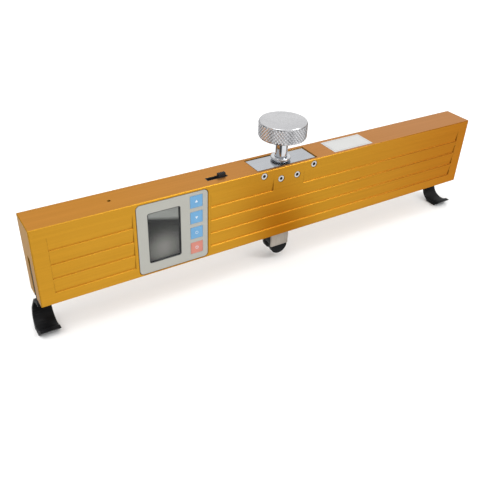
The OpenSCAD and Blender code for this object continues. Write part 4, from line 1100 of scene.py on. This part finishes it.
# the room around the bench, turn in degrees from the right and how bright it is there
studio = {"sky": 1.1, "dim": 0.30, "dimBelow": 0.38, "bench": 1.25, "benchSpan": (-0.05, -0.22),
          "room": [(0, 0.80), (60, 1.0), (112, 1.0), (122, 0.08), (146, 0.08), (157, 1.0),
                   (198, 1.0), (206, 0.06), (240, 0.08), (250, 0.95), (262, 1.0), (300, 1.0),
                   (330, 0.95), (338, 0.10), (356, 0.10), (360, 0.80)],
          "lamps": [("lampEdge", (0.9, -1.1, 1.4), (0, 0, 0.06), 0.7, 10.0),
                    ("lampOver", (-0.8, -0.3, 2.0), (0, 0, 0.05), 1.4, 13.0)]}


def makeWorld():
    world = bpy.data.worlds.new("paleRoom")
    bpy.context.scene.world = world
    world.use_nodes = True
    tree = world.node_tree
    # pale overhead and dimmer towards the horizon, plain white behind the object
    way = addNode(tree, "ShaderNodeTexCoord").outputs["Generated"]
    aside = addNode(tree, "ShaderNodeSeparateXYZ", {0: way}).outputs
    light = remap(tree, aside["Z"], 0.0, studio["dimBelow"], studio["dim"], studio["sky"])
    # lower down the room has bright and dark stretches, which only mirrors see
    turn = doMath(tree, "DIVIDE", doMath(tree, "ARCTAN2", aside["Y"], aside["X"]), 2 * math.pi)
    ramp = addNode(tree, "ShaderNodeValToRGB",
                   {0: doMath(tree, "FRACT", doMath(tree, "ADD", turn, 1.0))})
    marks = ramp.color_ramp.elements
    while len(marks) < len(studio["room"]):
        marks.new(1.0)
    for mark, (angle, shade) in zip(marks, studio["room"]):
        mark.position = angle / 360
        mark.color = rgba(even, shade)
    below = remap(tree, aside["Z"], *studio["benchSpan"])
    light = doMath(tree, "ADD", times(tree, light, doMath(tree, "SUBTRACT", 1.0, below)),
                   times(tree, ramp.outputs[0], studio["bench"], below))
    seen = addNode(tree, "ShaderNodeLightPath").outputs["Is Camera Ray"]
    tree.links.new(mixColour(tree, seen, greyOf(tree, light), rgba(even)),
                   tree.nodes["Background"].inputs["Color"])


def makeLamps():
    for name, spot, aim, size, power in studio["lamps"]:
        clearSelection()
        bpy.ops.object.light_add(type="AREA", location=spot)
        lamp = bpy.context.active_object
        lamp.name = name
        lamp.data.shape = "DISK"
        lamp.data.size = size
        lamp.data.energy = power
        way = [a - s for a, s in zip(aim, spot)]
        flat = math.hypot(way[0], way[1])
        lamp.rotation_euler = (math.atan2(flat, -way[2]), 0, math.atan2(-way[0], way[1]))


cameraPlace = {"spot": (-0.25912, -0.35711, 0.30262), "turn": (55.7711, -2.204, -31.7836),
               "lens": 44.37, "sensor": 36, "nearest": 0.01}


def makeCamera():
    clearSelection()
    bpy.ops.object.camera_add(location=cameraPlace["spot"],
                              rotation=[math.radians(a) for a in cameraPlace["turn"]])
    camera = bpy.context.active_object
    camera.name = "photoCamera"
    camera.data.sensor_width = cameraPlace["sensor"]
    camera.data.lens = cameraPlace["lens"]
    camera.data.clip_start = cameraPlace["nearest"]
    bpy.context.scene.camera = camera


makeStage()
makeWorld()
makeLamps()
makeCamera()
bpy.context.scene.view_settings.view_transform = "Standard"
print("stage, lights and camera made")
